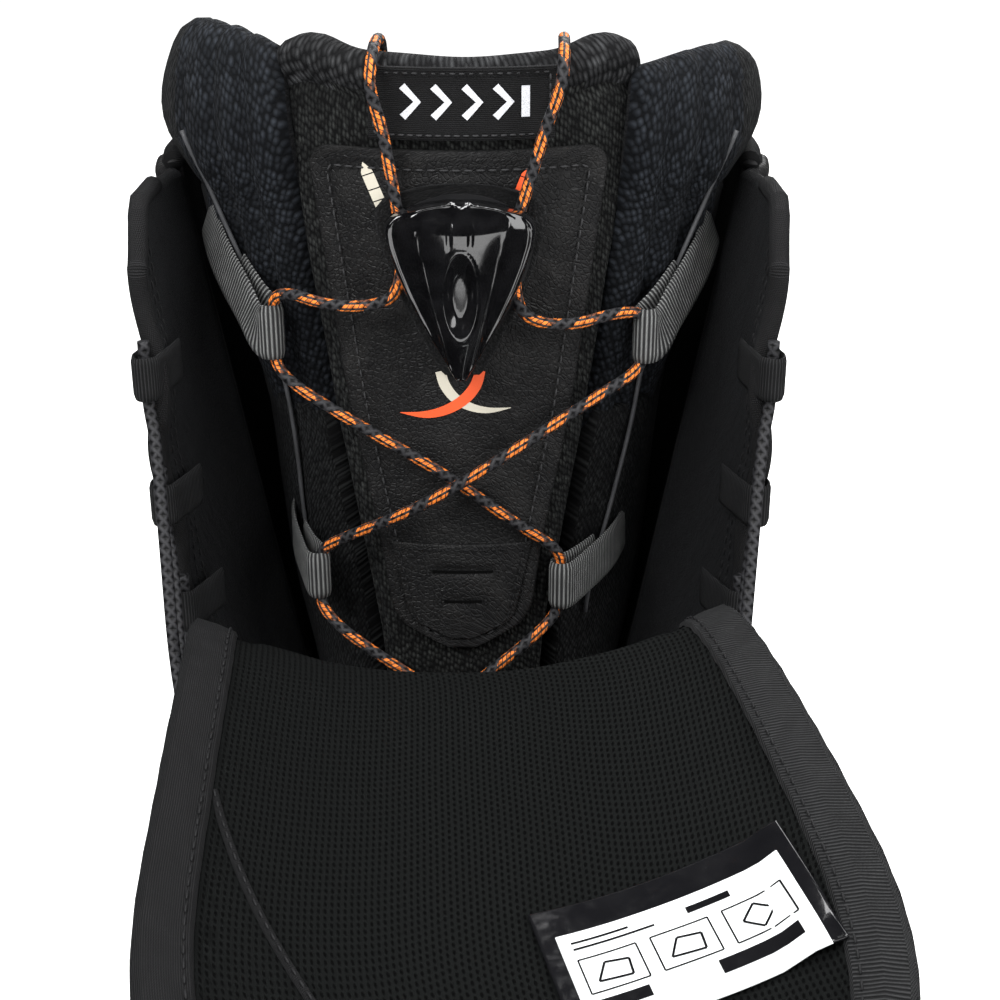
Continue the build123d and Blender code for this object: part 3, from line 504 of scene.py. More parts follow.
# ---------------------------------------------------------------- materials
class Paint:
    """A material being built. Texture places are in centimetres, from the piece's UV map or from the object's
    own frame."""

    def __init__(self, name, colour, roughness, uv=True, sheen=0.0, coat=0.0, metallic=0.0, specular=0.5,
        tint=(0.5, 0.52, 0.56)):
        self.material = bpy.data.materials.new(name)
        self.material.use_nodes = True
        self.tree = self.material.node_tree
        self.shader = next(n for n in self.tree.nodes if n.type == "BSDF_PRINCIPLED")
        self.set("Base Color", (*colour, 1))
        self.set("Roughness", roughness)
        self.set("Metallic", metallic)
        self.set("Specular IOR Level", specular)
        if sheen:
            self.set("Sheen Weight", sheen)
            self.set("Sheen Roughness", 0.45)
            self.set("Sheen Tint", (*tint, 1))
        if coat:
            self.set("Coat Weight", coat)
            self.set("Coat Roughness", 0.05)
        where = self.node("ShaderNodeTexCoord")
        self.place = where.outputs["UV" if uv else "Object"]
        if not uv:
            self.place = self.math3("MULTIPLY", self.place, (100, 100, 100))
        self.height = None

    def set(self, name, value):
        self.shader.inputs[name].default_value = value

    def node(self, kind, **settings):
        made = self.tree.nodes.new(kind)
        for key, value in settings.items():
            setattr(made, key, value)
        return made

    def wire(self, source, target):
        self.tree.links.new(source, target)

    def feed(self, target, value):
        if hasattr(value, "is_output"):
            self.wire(value, target)
        else:
            target.default_value = value

    def math(self, operation, a, b=0.0, c=0.0):
        made = self.node("ShaderNodeMath", operation=operation)
        for target, value in zip(made.inputs, (a, b, c)):
            self.feed(target, value)
        return made.outputs[0]

    def math3(self, operation, a, b=(0, 0, 0)):
        made = self.node("ShaderNodeVectorMath", operation=operation)
        self.feed(made.inputs[0], a)
        self.feed(made.inputs[1], b)
        return made.outputs[0]

    def part(self, vector):
        made = self.node("ShaderNodeSeparateXYZ")
        self.wire(vector, made.inputs[0])
        return made.outputs

    def turned(self, angle, stretch=(1, 1, 1)):
        made = self.node("ShaderNodeMapping")
        self.wire(self.place, made.inputs["Vector"])
        made.inputs["Rotation"].default_value = (0, 0, math.radians(angle))
        made.inputs["Scale"].default_value = stretch
        return made.outputs[0]

    def noise(self, scale, detail=3.0, place=None, rough_=0.55):
        made = self.node("ShaderNodeTexNoise")
        self.wire(place or self.place, made.inputs["Vector"])
        made.inputs["Scale"].default_value = scale
        made.inputs["Detail"].default_value = detail
        made.inputs["Roughness"].default_value = rough_
        return made.outputs[0]

    def cells(self, scale, place=None, feature="F1", random=1.0):
        made = self.node("ShaderNodeTexVoronoi", feature=feature)
        self.wire(place or self.place, made.inputs["Vector"])
        made.inputs["Scale"].default_value = scale
        made.inputs["Randomness"].default_value = random
        return made

    def bands(self, scale, place=None, distort=0.0, profile="SIN"):
        made = self.node("ShaderNodeTexWave", wave_type="BANDS", bands_direction="X", wave_profile=profile)
        self.wire(place or self.place, made.inputs["Vector"])
        made.inputs["Scale"].default_value = scale
        made.inputs["Distortion"].default_value = distort
        made.inputs["Detail Scale"].default_value = 2.0
        return made.outputs[1]

    def remap(self, value, low, high, to_low=0.0, to_high=1.0):
        made = self.node("ShaderNodeMapRange")
        self.wire(value, made.inputs["Value"])
        for key, number in (("From Min", low), ("From Max", high), ("To Min", to_low), ("To Max", to_high)):
            made.inputs[key].default_value = number
        return made.outputs[0]

    def mix(self, share, a, b):
        made = self.node("ShaderNodeMix", data_type="RGBA")
        self.feed(made.inputs["Factor"], share)
        for target, value in ((made.inputs[6], a), (made.inputs[7], b)):
            self.feed(target, value if hasattr(value, "is_output") else (*value, 1))
        return made.outputs[2]

    def colour(self, value):
        self.wire(value, self.shader.inputs["Base Color"])

    def roughness(self, value):
        self.wire(value, self.shader.inputs["Roughness"])

    def raise_by(self, height, distance):
        """Bump, with distance in mm."""
        made = self.node("ShaderNodeBump")
        made.inputs["Strength"].default_value = 1.0
        made.inputs["Distance"].default_value = distance * MM
        self.wire(height, made.inputs["Height"])
        if self.height is not None:
            self.wire(self.height, made.inputs["Normal"])
        self.height = made.outputs[0]
        self.wire(self.height, self.shader.inputs["Normal"])


def knit(name, dark, light, uv=True, angle=35.0, scale=9.0, deep=0.5, share=0.42):
    """Fine knitted mesh: slanted loops, some threads lighter."""
    m = Paint(name, dark, 0.85, uv, sheen=0.03, specular=0.12)
    place = m.turned(angle, (1.0, 0.5, 1.0) if uv else (1.0, 0.5, 0.8))
    loops = m.cells(scale, place, random=0.45)
    shade = m.remap(loops.outputs["Distance"], 0.12, 0.62, 1.0, 0.0)
    fleck = m.part(loops.outputs["Color"])[0]
    thread = m.math("MULTIPLY", shade, m.remap(fleck, share - 0.9, 1.0))
    patches = m.remap(m.noise(1.1, 2.0), 0.35, 0.7, 0.55, 1.0)
    m.colour(m.mix(m.math("MULTIPLY", thread, patches), dark, light))
    m.raise_by(shade, deep)
    m.raise_by(m.noise(5.0, 4.0), 0.25)
    return m.material


def spacer(name, dark, light, pitch=4.6):
    """Spacer mesh: staggered rows of small oval holes between slanted ridges."""
    m = Paint(name, dark, 0.85, sheen=0.01, specular=0.05)
    x, y, _ = m.part(m.place)
    row = m.math("MULTIPLY", y, pitch)
    odd = m.math("MULTIPLY", m.math("MODULO", m.math("FLOOR", row), 2.0), 0.5)
    column = m.math("ADD", m.math("MULTIPLY", x, pitch * 0.72), odd)
    cx = m.math("SUBTRACT", m.math("FRACT", column), 0.5)
    cy = m.math("SUBTRACT", m.math("FRACT", row), 0.5)
    far = m.math("SQRT", m.math("ADD", m.math("MULTIPLY", cx, cx),
        m.math("MULTIPLY", m.math("MULTIPLY", cy, cy), 1.9)))
    ridge = m.remap(far, 0.16, 0.42)
    threads = m.bands(26.0, m.turned(28), 0.6)
    m.colour(m.mix(m.math("MULTIPLY", ridge, m.remap(threads, 0.2, 0.9, 0.25, 1.0)), (0.0015, 0.0015, 0.0016), light))
    m.raise_by(ridge, 0.55)
    m.raise_by(threads, 0.12)
    m.raise_by(m.noise(0.8, 3.0), 0.8)
    return m.material


def leather(name, colour, uv=True, grain=8.0, deep=0.16, rough_=0.5, wear=(0.030, 0.029, 0.028)):
    m = Paint(name, colour, rough_, uv, specular=0.28)
    cracks = m.cells(grain, feature="DISTANCE_TO_EDGE")
    flat = m.remap(cracks.outputs["Distance"], 0.0, 0.16)
    cloud = m.noise(0.9, 5.0)
    m.colour(m.mix(m.remap(cloud, 0.45, 0.8, 0.0, 0.55), colour, wear))
    m.roughness(m.remap(m.noise(2.4, 4.0), 0.3, 0.75, rough_ - 0.08, rough_ + 0.14))
    m.raise_by(flat, deep)
    m.raise_by(m.noise(22.0, 3.0), deep * 0.5)
    m.raise_by(cloud, 0.5)
    return m.material


def ribbed(name, dark, light, ribs=4.6, across=False):
    """Webbing: ribs side by side, each a row of small stitches."""
    m = Paint(name, dark, 0.7, sheen=0.03, specular=0.2)
    turn = 90 if across is True else float(across)
    rib = m.bands(ribs * 0.5, m.turned(turn))
    thread = m.bands(11.0, m.turned(turn + 62), 0.4)
    light_on = m.math("MULTIPLY", m.remap(rib, 0.25, 0.95), m.remap(thread, 0.1, 0.9, 0.35, 1.0))
    m.colour(m.mix(m.math("MULTIPLY", light_on, m.remap(m.noise(1.7, 3.0), 0.3, 0.7, 0.6, 1.0)), dark, light))
    m.raise_by(rib, 0.5)
    m.raise_by(thread, 0.15)
    return m.material


def braid(name, dark, light, orange=None, period=1.15):
    """Round braid: slanted strands over each other, with coloured stretches if orange is given."""
    m = Paint(name, dark, 0.55, sheen=0.02, specular=0.25)
    u, v, _ = m.part(m.place)
    step = 3.6
    a = m.math("FRACT", m.math("ADD", m.math("MULTIPLY", v, step), m.math("MULTIPLY", u, 3.0)))
    b = m.math("FRACT", m.math("SUBTRACT", m.math("MULTIPLY", v, step), m.math("MULTIPLY", u, 3.0)))
    sa = m.math("SINE", m.math("MULTIPLY", a, math.pi))
    sb = m.math("SINE", m.math("MULTIPLY", b, math.pi))
    over = m.math("MAXIMUM", sa, m.math("MULTIPLY", sb, 0.93))
    tone = m.mix(m.remap(over, 0.55, 1.0), dark, light)
    if orange:
        slant = m.math("ADD", m.math("MULTIPLY", v, 1.0 / period), m.math("MULTIPLY", u, 1.0))
        zone = m.math("LESS_THAN", m.math("FRACT", slant), 0.55)
        other = m.math("FRACT", m.math("ADD", m.math("MULTIPLY", v, 1.0 / period), m.math("MULTIPLY", u, -1.0)))
        column = m.math("GREATER_THAN", m.math("SINE", m.math("MULTIPLY", u, math.pi * 12)), -0.3)
        chop = m.math("GREATER_THAN", m.math("FRACT", m.math("ADD", m.math("MULTIPLY", v, 7.5),
            m.math("MULTIPLY", u, 5.0))), 0.2)
        dark = m.math("MULTIPLY", m.math("GREATER_THAN", other, 0.72), 0.85)
        mask = m.math("MULTIPLY", m.math("MULTIPLY", zone, m.math("SUBTRACT", 1.0, dark)),
            m.math("MULTIPLY", column, chop))
        bright = m.mix(m.remap(over, 0.5, 1.0), tuple(c * 0.55 for c in orange), orange)
        tone = m.mix(mask, tone, bright)
    m.colour(tone)
    m.raise_by(over, 0.35)
    return m.material


def fleece(name, dark, light, uv=True):
    m = Paint(name, dark, 0.95, uv, sheen=0.06, specular=0.1)
    fuzz = m.noise(16.0, 6.0, rough_=0.7)
    m.colour(m.mix(m.remap(fuzz, 0.48, 0.78), dark, light))
    m.raise_by(fuzz, 0.8)
    m.raise_by(m.noise(1.5, 3.0), 0.8)
    return m.material


def moulded(name, colour, rough_=0.5, uv=False, pebble=20.0, deep=0.05, wear=None, coat=0.0):
    m = Paint(name, colour, rough_, uv, coat=coat, specular=0.3)
    cloud = m.noise(1.0, 4.0)
    m.colour(m.mix(m.remap(cloud, 0.4, 0.8, 0.0, 0.6), colour, wear or tuple(c * 1.7 + 0.004 for c in colour)))
    m.roughness(m.remap(m.noise(3.0, 4.0), 0.3, 0.75, max(0.03, rough_ - 0.1), rough_ + 0.1))
    m.raise_by(m.noise(pebble, 2.0), deep)
    return m.material


def gloss(name):
    m = Paint(name, (0.004, 0.004, 0.0045), 0.12, False, coat=1.0, specular=0.6)
    m.colour(m.mix(m.remap(m.noise(2.0, 3.0), 0.4, 0.7, 0.0, 0.5), (0.003, 0.003, 0.0034), (0.010, 0.010, 0.011)))
    m.roughness(m.remap(m.noise(6.0, 5.0), 0.35, 0.8, 0.07, 0.2))
    m.raise_by(m.noise(1.2, 2.0), 0.03)
    return m.material


def thread(name, colour, rough_=0.6):
    m = Paint(name, colour, rough_, False, sheen=0.03, specular=0.25)
    twist = m.noise(40.0, 2.0)
    m.colour(m.mix(m.remap(twist, 0.3, 0.7), tuple(c * 0.6 for c in colour), colour))
    m.raise_by(twist, 0.1)
    return m.material


def steel(name):
    m = Paint(name, (0.55, 0.55, 0.57), 0.3, False, metallic=1.0)
    m.roughness(m.remap(m.noise(30.0, 3.0), 0.3, 0.7, 0.2, 0.4))
    m.raise_by(m.noise(60.0, 2.0), 0.02)
    return m.material


KNIT = knit("liner_knit", (0.0035, 0.0035, 0.0038), (0.034, 0.036, 0.036), scale=12.0)
KNIT_EDGE = knit("liner_knit_edge", (0.0035, 0.004, 0.005), (0.034, 0.039, 0.048), angle=62, scale=11.0, share=0.3)
KNIT_IN = fleece("liner_lining", (0.006, 0.006, 0.0065), (0.03, 0.03, 0.032))
TONGUE_KNIT = knit("tongue_knit", (0.0035, 0.0035, 0.0037), (0.050, 0.053, 0.050), angle=18, scale=11.0)
ROLL_KNIT = knit("tongue_roll_knit", (0.004, 0.004, 0.0045), (0.075, 0.077, 0.08), angle=80, scale=8.0, deep=0.9)
SPACER = spacer("spacer_mesh", (0.0015, 0.0015, 0.0016), (0.0145, 0.016, 0.0155), pitch=7.6)
PATCH_SKIN = leather("patch_leather", (0.010, 0.010, 0.0105))
OUTER_SKIN = leather("shell_leather", (0.013, 0.013, 0.0138), grain=6.0, deep=0.2)
OVERLAY_SKIN = leather("overlay_leather", (0.020, 0.020, 0.0215), grain=9.0, deep=0.1, rough_=0.42,
    wear=(0.032, 0.032, 0.033))
FLEECE = fleece("shell_lining", (0.003, 0.003, 0.0032), (0.017, 0.017, 0.0175))
BACKING = fleece("lock_backing", (0.008, 0.008, 0.0082), (0.05, 0.05, 0.051))
WEB = ribbed("grey_webbing", (0.03, 0.03, 0.031), (0.46, 0.47, 0.46), ribs=6.5)
TAPE = ribbed("black_tape", (0.006, 0.006, 0.0065), (0.045, 0.046, 0.048), ribs=9.0)
TWILL = ribbed("twill_tape", (0.008, 0.008, 0.0085), (0.085, 0.086, 0.088), ribs=11.0, across=48)
TAPE_SMOOTH = ribbed("binding_tape", (0.007, 0.007, 0.0075), (0.04, 0.04, 0.042), ribs=14.0, across=True)
ORANGE = braid("orange_braid", (0.005, 0.005, 0.006), (0.035, 0.035, 0.038), (0.95, 0.24, 0.03))
BLACK_BRAID = braid("black_braid", (0.005, 0.005, 0.0055), (0.030, 0.030, 0.033))
GLOSS = gloss("gloss_black")
MATT = moulded("matt_plastic", (0.012, 0.012, 0.013), 0.5)
RUBBER = moulded("sole_rubber", (0.011, 0.011, 0.0115), 0.72, pebble=14.0, deep=0.1)
MIDSOLE = moulded("midsole_foam", (0.022, 0.022, 0.024), 0.6, pebble=18.0, deep=0.12)
CAP = moulded("toe_rubber", (0.012, 0.012, 0.0125), 0.55, uv=True, pebble=11.0, deep=0.12)
FELT = fleece("footbed_felt", (0.05, 0.05, 0.052), (0.13, 0.13, 0.135))
BOARD = moulded("board", (0.05, 0.048, 0.045), 0.8)
THREAD = thread("black_thread", (0.045, 0.045, 0.047))
THREAD_DARK = thread("dark_thread", (0.012, 0.012, 0.013))
THREAD_WHITE = thread("white_thread", (0.75, 0.76, 0.8))
PRINT_CREAM = moulded("cream_print", (0.62, 0.58, 0.48), 0.55, deep=0.03, wear=(0.5, 0.47, 0.39))
PRINT_ORANGE = moulded("orange_print", (0.88, 0.115, 0.03), 0.5, deep=0.03, wear=(0.7, 0.09, 0.03))
VINYL_WHITE = moulded("white_vinyl", (0.80, 0.82, 0.82), 0.3, deep=0.02, wear=(0.7, 0.72, 0.72), coat=0.4)
VINYL_BLACK = moulded("black_vinyl", (0.006, 0.006, 0.007), 0.16, deep=0.25, pebble=1.6, wear=(0.012, 0.012, 0.013),
    coat=0.8)
STEEL = steel("spring_steel")
EDGE_GREY = moulded("edge_grey", (0.05, 0.051, 0.054), 0.4, wear=(0.11, 0.112, 0.12))
# slit_shadow: near-black cloth laid along the patch foot's slits as painted shade
SLIT_SHADOW = fleece("slit_shadow", (0.001, 0.001, 0.001), (0.003, 0.003, 0.003))


# ---------------------------------------------------------------- handing pieces over
def give(thing, body, slot_name, *nodes, fill=None, bend=None):
    """Rides the piece on a body; given bend, it rides no body and only has its place baked into its mesh: bend is
    (body, body, start, end) in mm.
    """
    if bend:
        tuple(Vector(bend[2]) * MM)
        tuple(Vector(bend[3]) * MM)
        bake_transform(thing)
    else:
        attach(thing, body)
    if nodes:
        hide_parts(*nodes)
    return thing


def repaint(material, *nodes):
    for node in nodes:
        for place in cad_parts[node].material_slots:
            place.material = material


def sole_line(column, y):
    return between(SOLE_SIDE, y)[column - 1]


# ---------------------------------------------------------------- sole
def sole_floor(y):
    """The outsole's underside at y: toe spring in front, a small roll behind."""
    front = between([(-172, 18.0), (-160, 12.0), (-150, 7.5), (-137, 4.0), (-125, 1.8), (-114, 0.5), (-105, 0.0)],
        y)[0]
    back = between([(128, 0.0), (140, 0.6), (152, 2.4), (165, 5.0)], y)[0]
    return front if y < 0 else back


def sole_body(name, profile, material, around=132):
    """A closed body on the sole's outline. profile rows are (grow, function of y giving z)."""
    verts, faces = [], []
    for grow, level in profile:
        for k in range(around):
            p = on_ring(SHELL, 40.0, 2 * math.pi * (k + 0.5) / around, grow)
            verts.append(Vector((p.x, p.y, level(p.y))))
    for r in range(len(profile) - 1):
        for k in range(around):
            a, b = r * around + k, r * around + (k + 1) % around
            faces.append((a, b, b + around, a + around))
    for r, level in ((0, profile[0][1]), (len(profile) - 1, profile[-1][1])):
        columns = 8
        rows = []
        for k in range(around // 2):
            right, left = verts[r * around + k], verts[r * around + around - 1 - k]
            row = [r * around + k]
            for c in range(1, columns):
                p = right.lerp(left, c / columns)
                row.append(len(verts))
                verts.append(Vector((p.x, p.y, level(p.y))))
            rows.append(row + [r * around + around - 1 - k])
        for a, b in zip(rows, rows[1:]):
            for c in range(columns):
                faces.append((a[c], a[c + 1], b[c + 1], b[c]))
        faces += [tuple(rows[0]), tuple(reversed(rows[-1]))]
    return clean(mesh_piece(name, verts, faces, None, None, [material]))


def block(x0, x1, y0, y1, z0, z1):
    verts = [Vector((x, y, z)) for x in (x0, x1) for y in (y0, y1) for z in (z0, z1)]
    faces = [(0, 1, 3, 2), (4, 6, 7, 5), (0, 4, 5, 1), (2, 3, 7, 6), (0, 2, 6, 4), (1, 5, 7, 3)]
    return mesh_piece("cut", verts, faces, smooth=False)


def make_outsole():
    profile = [(0.6, sole_floor), (2.2, lambda y: sole_floor(y) + 0.9), (3.0, lambda y: sole_floor(y) + 2.6)]
    profile += [(3.0, lambda y: sole_line(2, y) - 2.0), (2.4, lambda y: sole_line(2, y) - 0.4),
        (1.4, lambda y: sole_line(2, y))]
    sole = sole_body("outsole_tread", profile, RUBBER)
    cuts = []
    for y in (*range(-118, -20, 19), *range(44, 125, 19)):
        cuts.append(block(-75, 75, y - 2.7, y + 2.7, -3, 5.0))
    cuts += [block(x - 2.7, x + 2.7, -128, -20, -3, 5.0) for x in (-18, 18)]
    cuts.append(block(-2.7, 2.7, 46, 138, -3, 5.0))
    cutter = join("tread_cuts", cuts)
    cut = sole.modifiers.new("cut", "BOOLEAN")
    cut.operation, cut.object, cut.solver, cut.use_self = "DIFFERENCE", cutter, "EXACT", True
    edge = sole.modifiers.new("edge", "BEVEL")
    edge.width, edge.segments, edge.limit_method, edge.angle_limit = 0.5 * MM, 2, "ANGLE", math.radians(50)
    applied(sole)
    bpy.data.objects.remove(cutter)
    sole.data.polygons.foreach_set("use_smooth", [False] * len(sole.data.polygons))
    flat = bmesh.new()
    flat.from_mesh(sole.data)
    for face in flat.faces:
        face.smooth = abs(face.normal.z) < 0.9
    for line in flat.edges:
        line.smooth = line.calc_face_angle(0) < math.radians(35)
    flat.to_mesh(sole.data)
    flat.free()
    return sole


def make_midsole():
    low, high = (lambda y: sole_line(2, y)), (lambda y: sole_line(1, y))

    def at(share, extra=0.0):
        return lambda y: low(y) + (high(y) - low(y)) * share + extra

    profile = [(1.2, at(0)), (1.8, at(0, 0.6)), (2.0, at(0.18)), (1.9, at(0.38)), (0.9, at(0.43)), (0.9, at(0.47)),
        (1.9, at(0.52))]
    profile += [(1.8, at(0.75)), (1.5, at(1, -1.6)), (0.9, at(1, -0.5)), (-0.4, at(1))]
    return sole_body("midsole_wall", profile, MIDSOLE)


give(make_outsole(), "shell", "outsole_rubber", "outsole")
give(make_midsole(), "shell", "midsole_foam", "midsole")
repaint(BOARD, "insole_board")


# ---------------------------------------------------------------- outer shell
def throat_angle(z):
    if z < 91.5:
        return 0.0
    half = 30.0 + 10.0 * (z - 92) / 58.0
    return angle_at_x(SHELL, z, half) * ramp(90.5, 96.5, z)


def shell_at(z, angle, grow=0.0):
    return on_ring(SHELL, z, angle, grow)


UPPER_Z = [24, 30, 37, 44, 52, 59, 65, 70, 74, 77, 80, 83, 86, 88.5, 91, 92.2, 93.5, 95, 97, 99, 101.5, 104, 108, 113,
    119, 126, 134, 142, 150]


def upper_point(u, z, grow):
    start = throat_angle(z)
    return shell_at(z, start + (2 * math.pi - 2 * start) * u, grow)


def flex_creases(p):
    """Soft walking creases across the instep and round the ankle."""
    side = abs(math.sin(p.z / 9.0 + p.y / 15.0))
    where = bump(p.y, -62, 26) * ramp(60, 85, p.z) + 0.8 * bump(p.z, 128, 14) * bump(p.y, 70, 60)
    return -1.0 * where * side**3 + 0.9 * rough(p, 34.0, 3.1) + 0.3 * rough(p, 12.0, 1.0)


def make_upper():
    def middle(u, z):
        p = upper_point(u, z, -2.25)
        out = (upper_point(u, z, 2.0) - p).normalized()
        return p + out * min(0.6, flex_creases(p))

    return pad("upper_lower", middle, steps(150), UPPER_Z, 2.25, "", [OUTER_SKIN, FLEECE], flip=False)


def overlay(name, low, high, edge_a, edge_b, material, table_point=shell_at, lift=0.7, half=0.9, step=3.0, rows=26):
    """A sewn-on panel: between two heights, from edge_a(z) to edge_b(z), angles from the front."""
    levels = [low + (high - low) * v for v in spread(high - low, 2.0, max(3.0, (high - low) / rows))]

    def middle(u, z):
        a, b = edge_a(z), edge_b(z)
        return table_point(z, a + (b - a) * u, lift)

    thing = pad(name, middle, spread(60, 2.0, step), levels, half, "u0 u1 v0 v1", [material])
    rows_ = [low + 3.0 + (high - low - 6.0) * i / 24 for i in range(25)]
    path = []
    for near_a, order in ((True, rows_), (False, list(reversed(rows_)))):
        for z in order:
            a, b = edge_a(z), edge_b(z)
            places = [table_point(z, a + (b - a) * i / 8, lift) for i in range(9)]
            wide = sum((q - p).length for p, q in zip(places, places[1:]))
            inset = min(0.4, 3.2 / wide)
            path.append((z, a + (b - a) * (inset if near_a else 1 - inset)))
        if near_a:
            z = rows_[-1]
            first_, last_ = path[-1][1], edge_b(z) - (path[-1][1] - edge_a(z))
            path += [(z, first_ + (last_ - first_) * i / 30) for i in range(1, 30)]
    line = [table_point(z, a, lift + half) for z, a in path]
    outs = [(table_point(z, a, lift + 4) - table_point(z, a, lift)).normalized() for z, a in path]
    give(stitches(name + "_stitch", line, outs, THREAD, 3.6, 2.5, 0.3), "shell", "shell_leather")
    return thing


def side_panel(name, low, high, side, front, back, rows=26):
    """A panel on one side of the boot: front(z) and back(z) are its edges' y."""
    panel = overlay(name, low, high, lambda z: side * angle_at_y(SHELL, z, front(z)),
        lambda z: side * angle_at_y(SHELL, z, back(z)), OVERLAY_SKIN, step=4.0, rows=rows)
    give(panel, "shell", "shell_leather")


def cap_edge(z):
    return angle_at_y(SHELL, z, -104.0 - 18.0 * (z - 10) / 100.0)


def heel_edge(z):
    return angle_at_y(SHELL, z, between([(24, 62.0), (52, 66.0), (70, 92.0), (108, 124.0)], z)[0])


def make_lower_panels():
    cap = overlay("toe_cap_panel", 24, 85.5, lambda z: -cap_edge(z), cap_edge, CAP, step=1.4, rows=30)
    give(cap, "shell", "moulded", "toe_cap")
    heel = overlay("heel_cup", 24, 108, heel_edge, lambda z: 2 * math.pi - heel_edge(z), CAP, step=1.4, rows=30)
    give(heel, "shell", "moulded", "heel_counter")
    for side, tag in ((1, "left"), (-1, "right")):
        def near(z, side=side):
            return side * (throat_angle(z) + 0.02)

        def far(z, side=side):
            return side * (throat_angle(z) + 0.30 + 0.0012 * (z - 93))

        give(overlay(f"eyestay_{tag}", 97, 149, near, far, OVERLAY_SKIN, step=4.0), "shell", "shell_leather")

        side_panel(f"side_panel_{tag}", 24, 147, side,
            lambda z: between([(24, -46.0), (60, -38.0), (100, -20.0), (149, -6.0)], z)[0],
            lambda z: between([(24, 40.0), (60, 34.0), (100, 40.0), (149, 62.0)], z)[0], rows=34)


give(make_upper(), "shell", "shell_leather", "vamp", "quarters")
make_lower_panels()


def shaft_top(y):
    return between([(-20, 303.6), (40, 303.6), (65, 298.0), (90, 290.0), (120, 285.0), (160, 282.0)], y)[0]


SHAFT_LOW = 146  # where the shaft's wall starts, inside the upper


def shaft_point(u, v, grow=-2.25):
    start = angle_at_y(SHELL, 225.0, 3.0)
    angle = start + (2 * math.pi - 2 * start) * u
    top = shaft_top(shell_at(290, angle).y)
    z = SHAFT_LOW + (top - SHAFT_LOW) * v
    return shell_at(z, angle, grow)


def make_shaft():
    def middle(u, v):
        p = shaft_point(u, v)
        out = Vector((p.x, p.y - 30, 0)).normalized()
        return p + out * (0.8 * rough(p, 45.0, 7.0) - 0.9 * bump(p.z, 196, 4) * abs(math.sin(p.y / 20)) + 0.2)

    return pad("shaft_wall", middle, steps(110), spread(150, 2.3, 5.0), 2.25, "v1", [OUTER_SKIN, FLEECE])


give(make_shaft(), "shell", "shell_leather", "shaft")


def make_shaft_details():
    line = [shaft_point(u, 1.0, -2.25) + Vector((0, 0, -0.4)) for u in steps(90)]
    give(tube("shaft_collar_piping", line, 2.7, TAPE_SMOOTH), "shell", "black_webbing")
    for name, depth in (("collar_stitch_a", 7.0), ("collar_stitch_b", 10.5)):
        line = [shaft_point(u, 1.0 - depth / 150.0, 0.0) for u in steps(90)]
        outs = [Vector((p.x, p.y - 30, 0)).normalized() for p in line]
        give(stitches(name, line, outs, THREAD, 3.4, 2.3), "shell", "shell_leather")
    bar = overlay("spine_bar", 122, 283, lambda z: math.pi - 0.31 + 0.0009 * (z - 122),
        lambda z: math.pi + 0.31 - 0.0009 * (z - 122), CAP, lift=1.0, half=1.2, step=5.0, rows=30)
    give(bar, "shell", "moulded", "spine")
    for side, tag in ((1, "left"), (-1, "right")):
        side_panel(f"ankle_panel_{tag}", 152, 205, side, lambda z: 8.0 + 0.1 * (z - 152),
            lambda z: 96 - 0.35 * (z - 152))
        side_panel(f"cuff_panel_{tag}", 214, 288, side, lambda z: 8.0, lambda z: 88 - 0.25 * (z - 214))


make_shaft_details()
back_loop = [(0, 116.2, 261), (0, 119.5, 263.5), (0, 123.8, 268), (0, 125.6, 275), (0, 125.6, 284), (0, 123.6, 290.5),
    (0, 119.0, 294.5), (0, 115.2, 296)]
give(strap("rear_loop_band", nurbs(back_loop, 6), Vector((1, 0, 0)), 21.5, 2.0, TAPE), "shell", "black_webbing",
    "rear_pull_loop")


# ---------------------------------------------------------------- eyestay wings
def flex_x(z):
    return FLEX_LOW[0] + (z - FLEX_LOW[1]) / (FLEX_HIGH[1] - FLEX_LOW[1]) * (FLEX_HIGH[0] - FLEX_LOW[0])


def wing_turn(z):
    """How far the wing stands out at this height, in radians."""
    return math.radians(eased(WING_SPREAD, z)[0])


def wing_out(z):
    return Vector((math.cos(wing_turn(z)), math.sin(wing_turn(z)), 0))


def wing_eye(z):
    """The middle of a lace loop, just in front of the wing's edge."""
    return wing_point(z, WING_LENGTH + 4.4)


def wing_point(z, along, across=0.0):
    angle = wing_turn(z)
    bow = 3.0 * math.sin(math.pi * along / WING_LENGTH)
    x = flex_x(z) + along * math.sin(angle) + (across + bow) * math.cos(angle)
    y = FLEX_Y - along * math.cos(angle) + (across + bow) * math.sin(angle)
    return Vector((x, y, z))


def wing_surface(s, v, wave=1.0):
    """The right wing and the strip of shaft that it bends from: s in mm from the flex line, forwards."""
    top = 302.0 - 15.0 * ramp(24, 43, s) ** 1.3 + 0.6 * math.sin(s / 5.0)
    low = 151.0 + 33.0 * ramp(12, 42, s)
    z = low + (top - low) * v
    edge = ramp(18, 42, s)
    s = s + wave * edge * 1.7 * math.sin(z / 12.5 + 0.6)
    p = wing_point(z, max(s, 0.0))
    if s < 5:
        on_shaft = shell_at(z, angle_at_y(SHELL, z, FLEX_Y - s), -1.0 + 2.2 * ramp(-4, -12, s))
        p = on_shaft.lerp(p, ramp(-6, 5, s))
    ripples = edge * (1.5 * math.sin(z / 15.0) + 1.0 * math.sin(z / 6.3 + 1.0) * edge)
    ripples += 0.7 * rough(p, 18.0, 5.0) * edge
    return p + wing_out(z) * wave * ripples


def sided(p, side):
    return Vector((p.x * side, p.y, p.z))


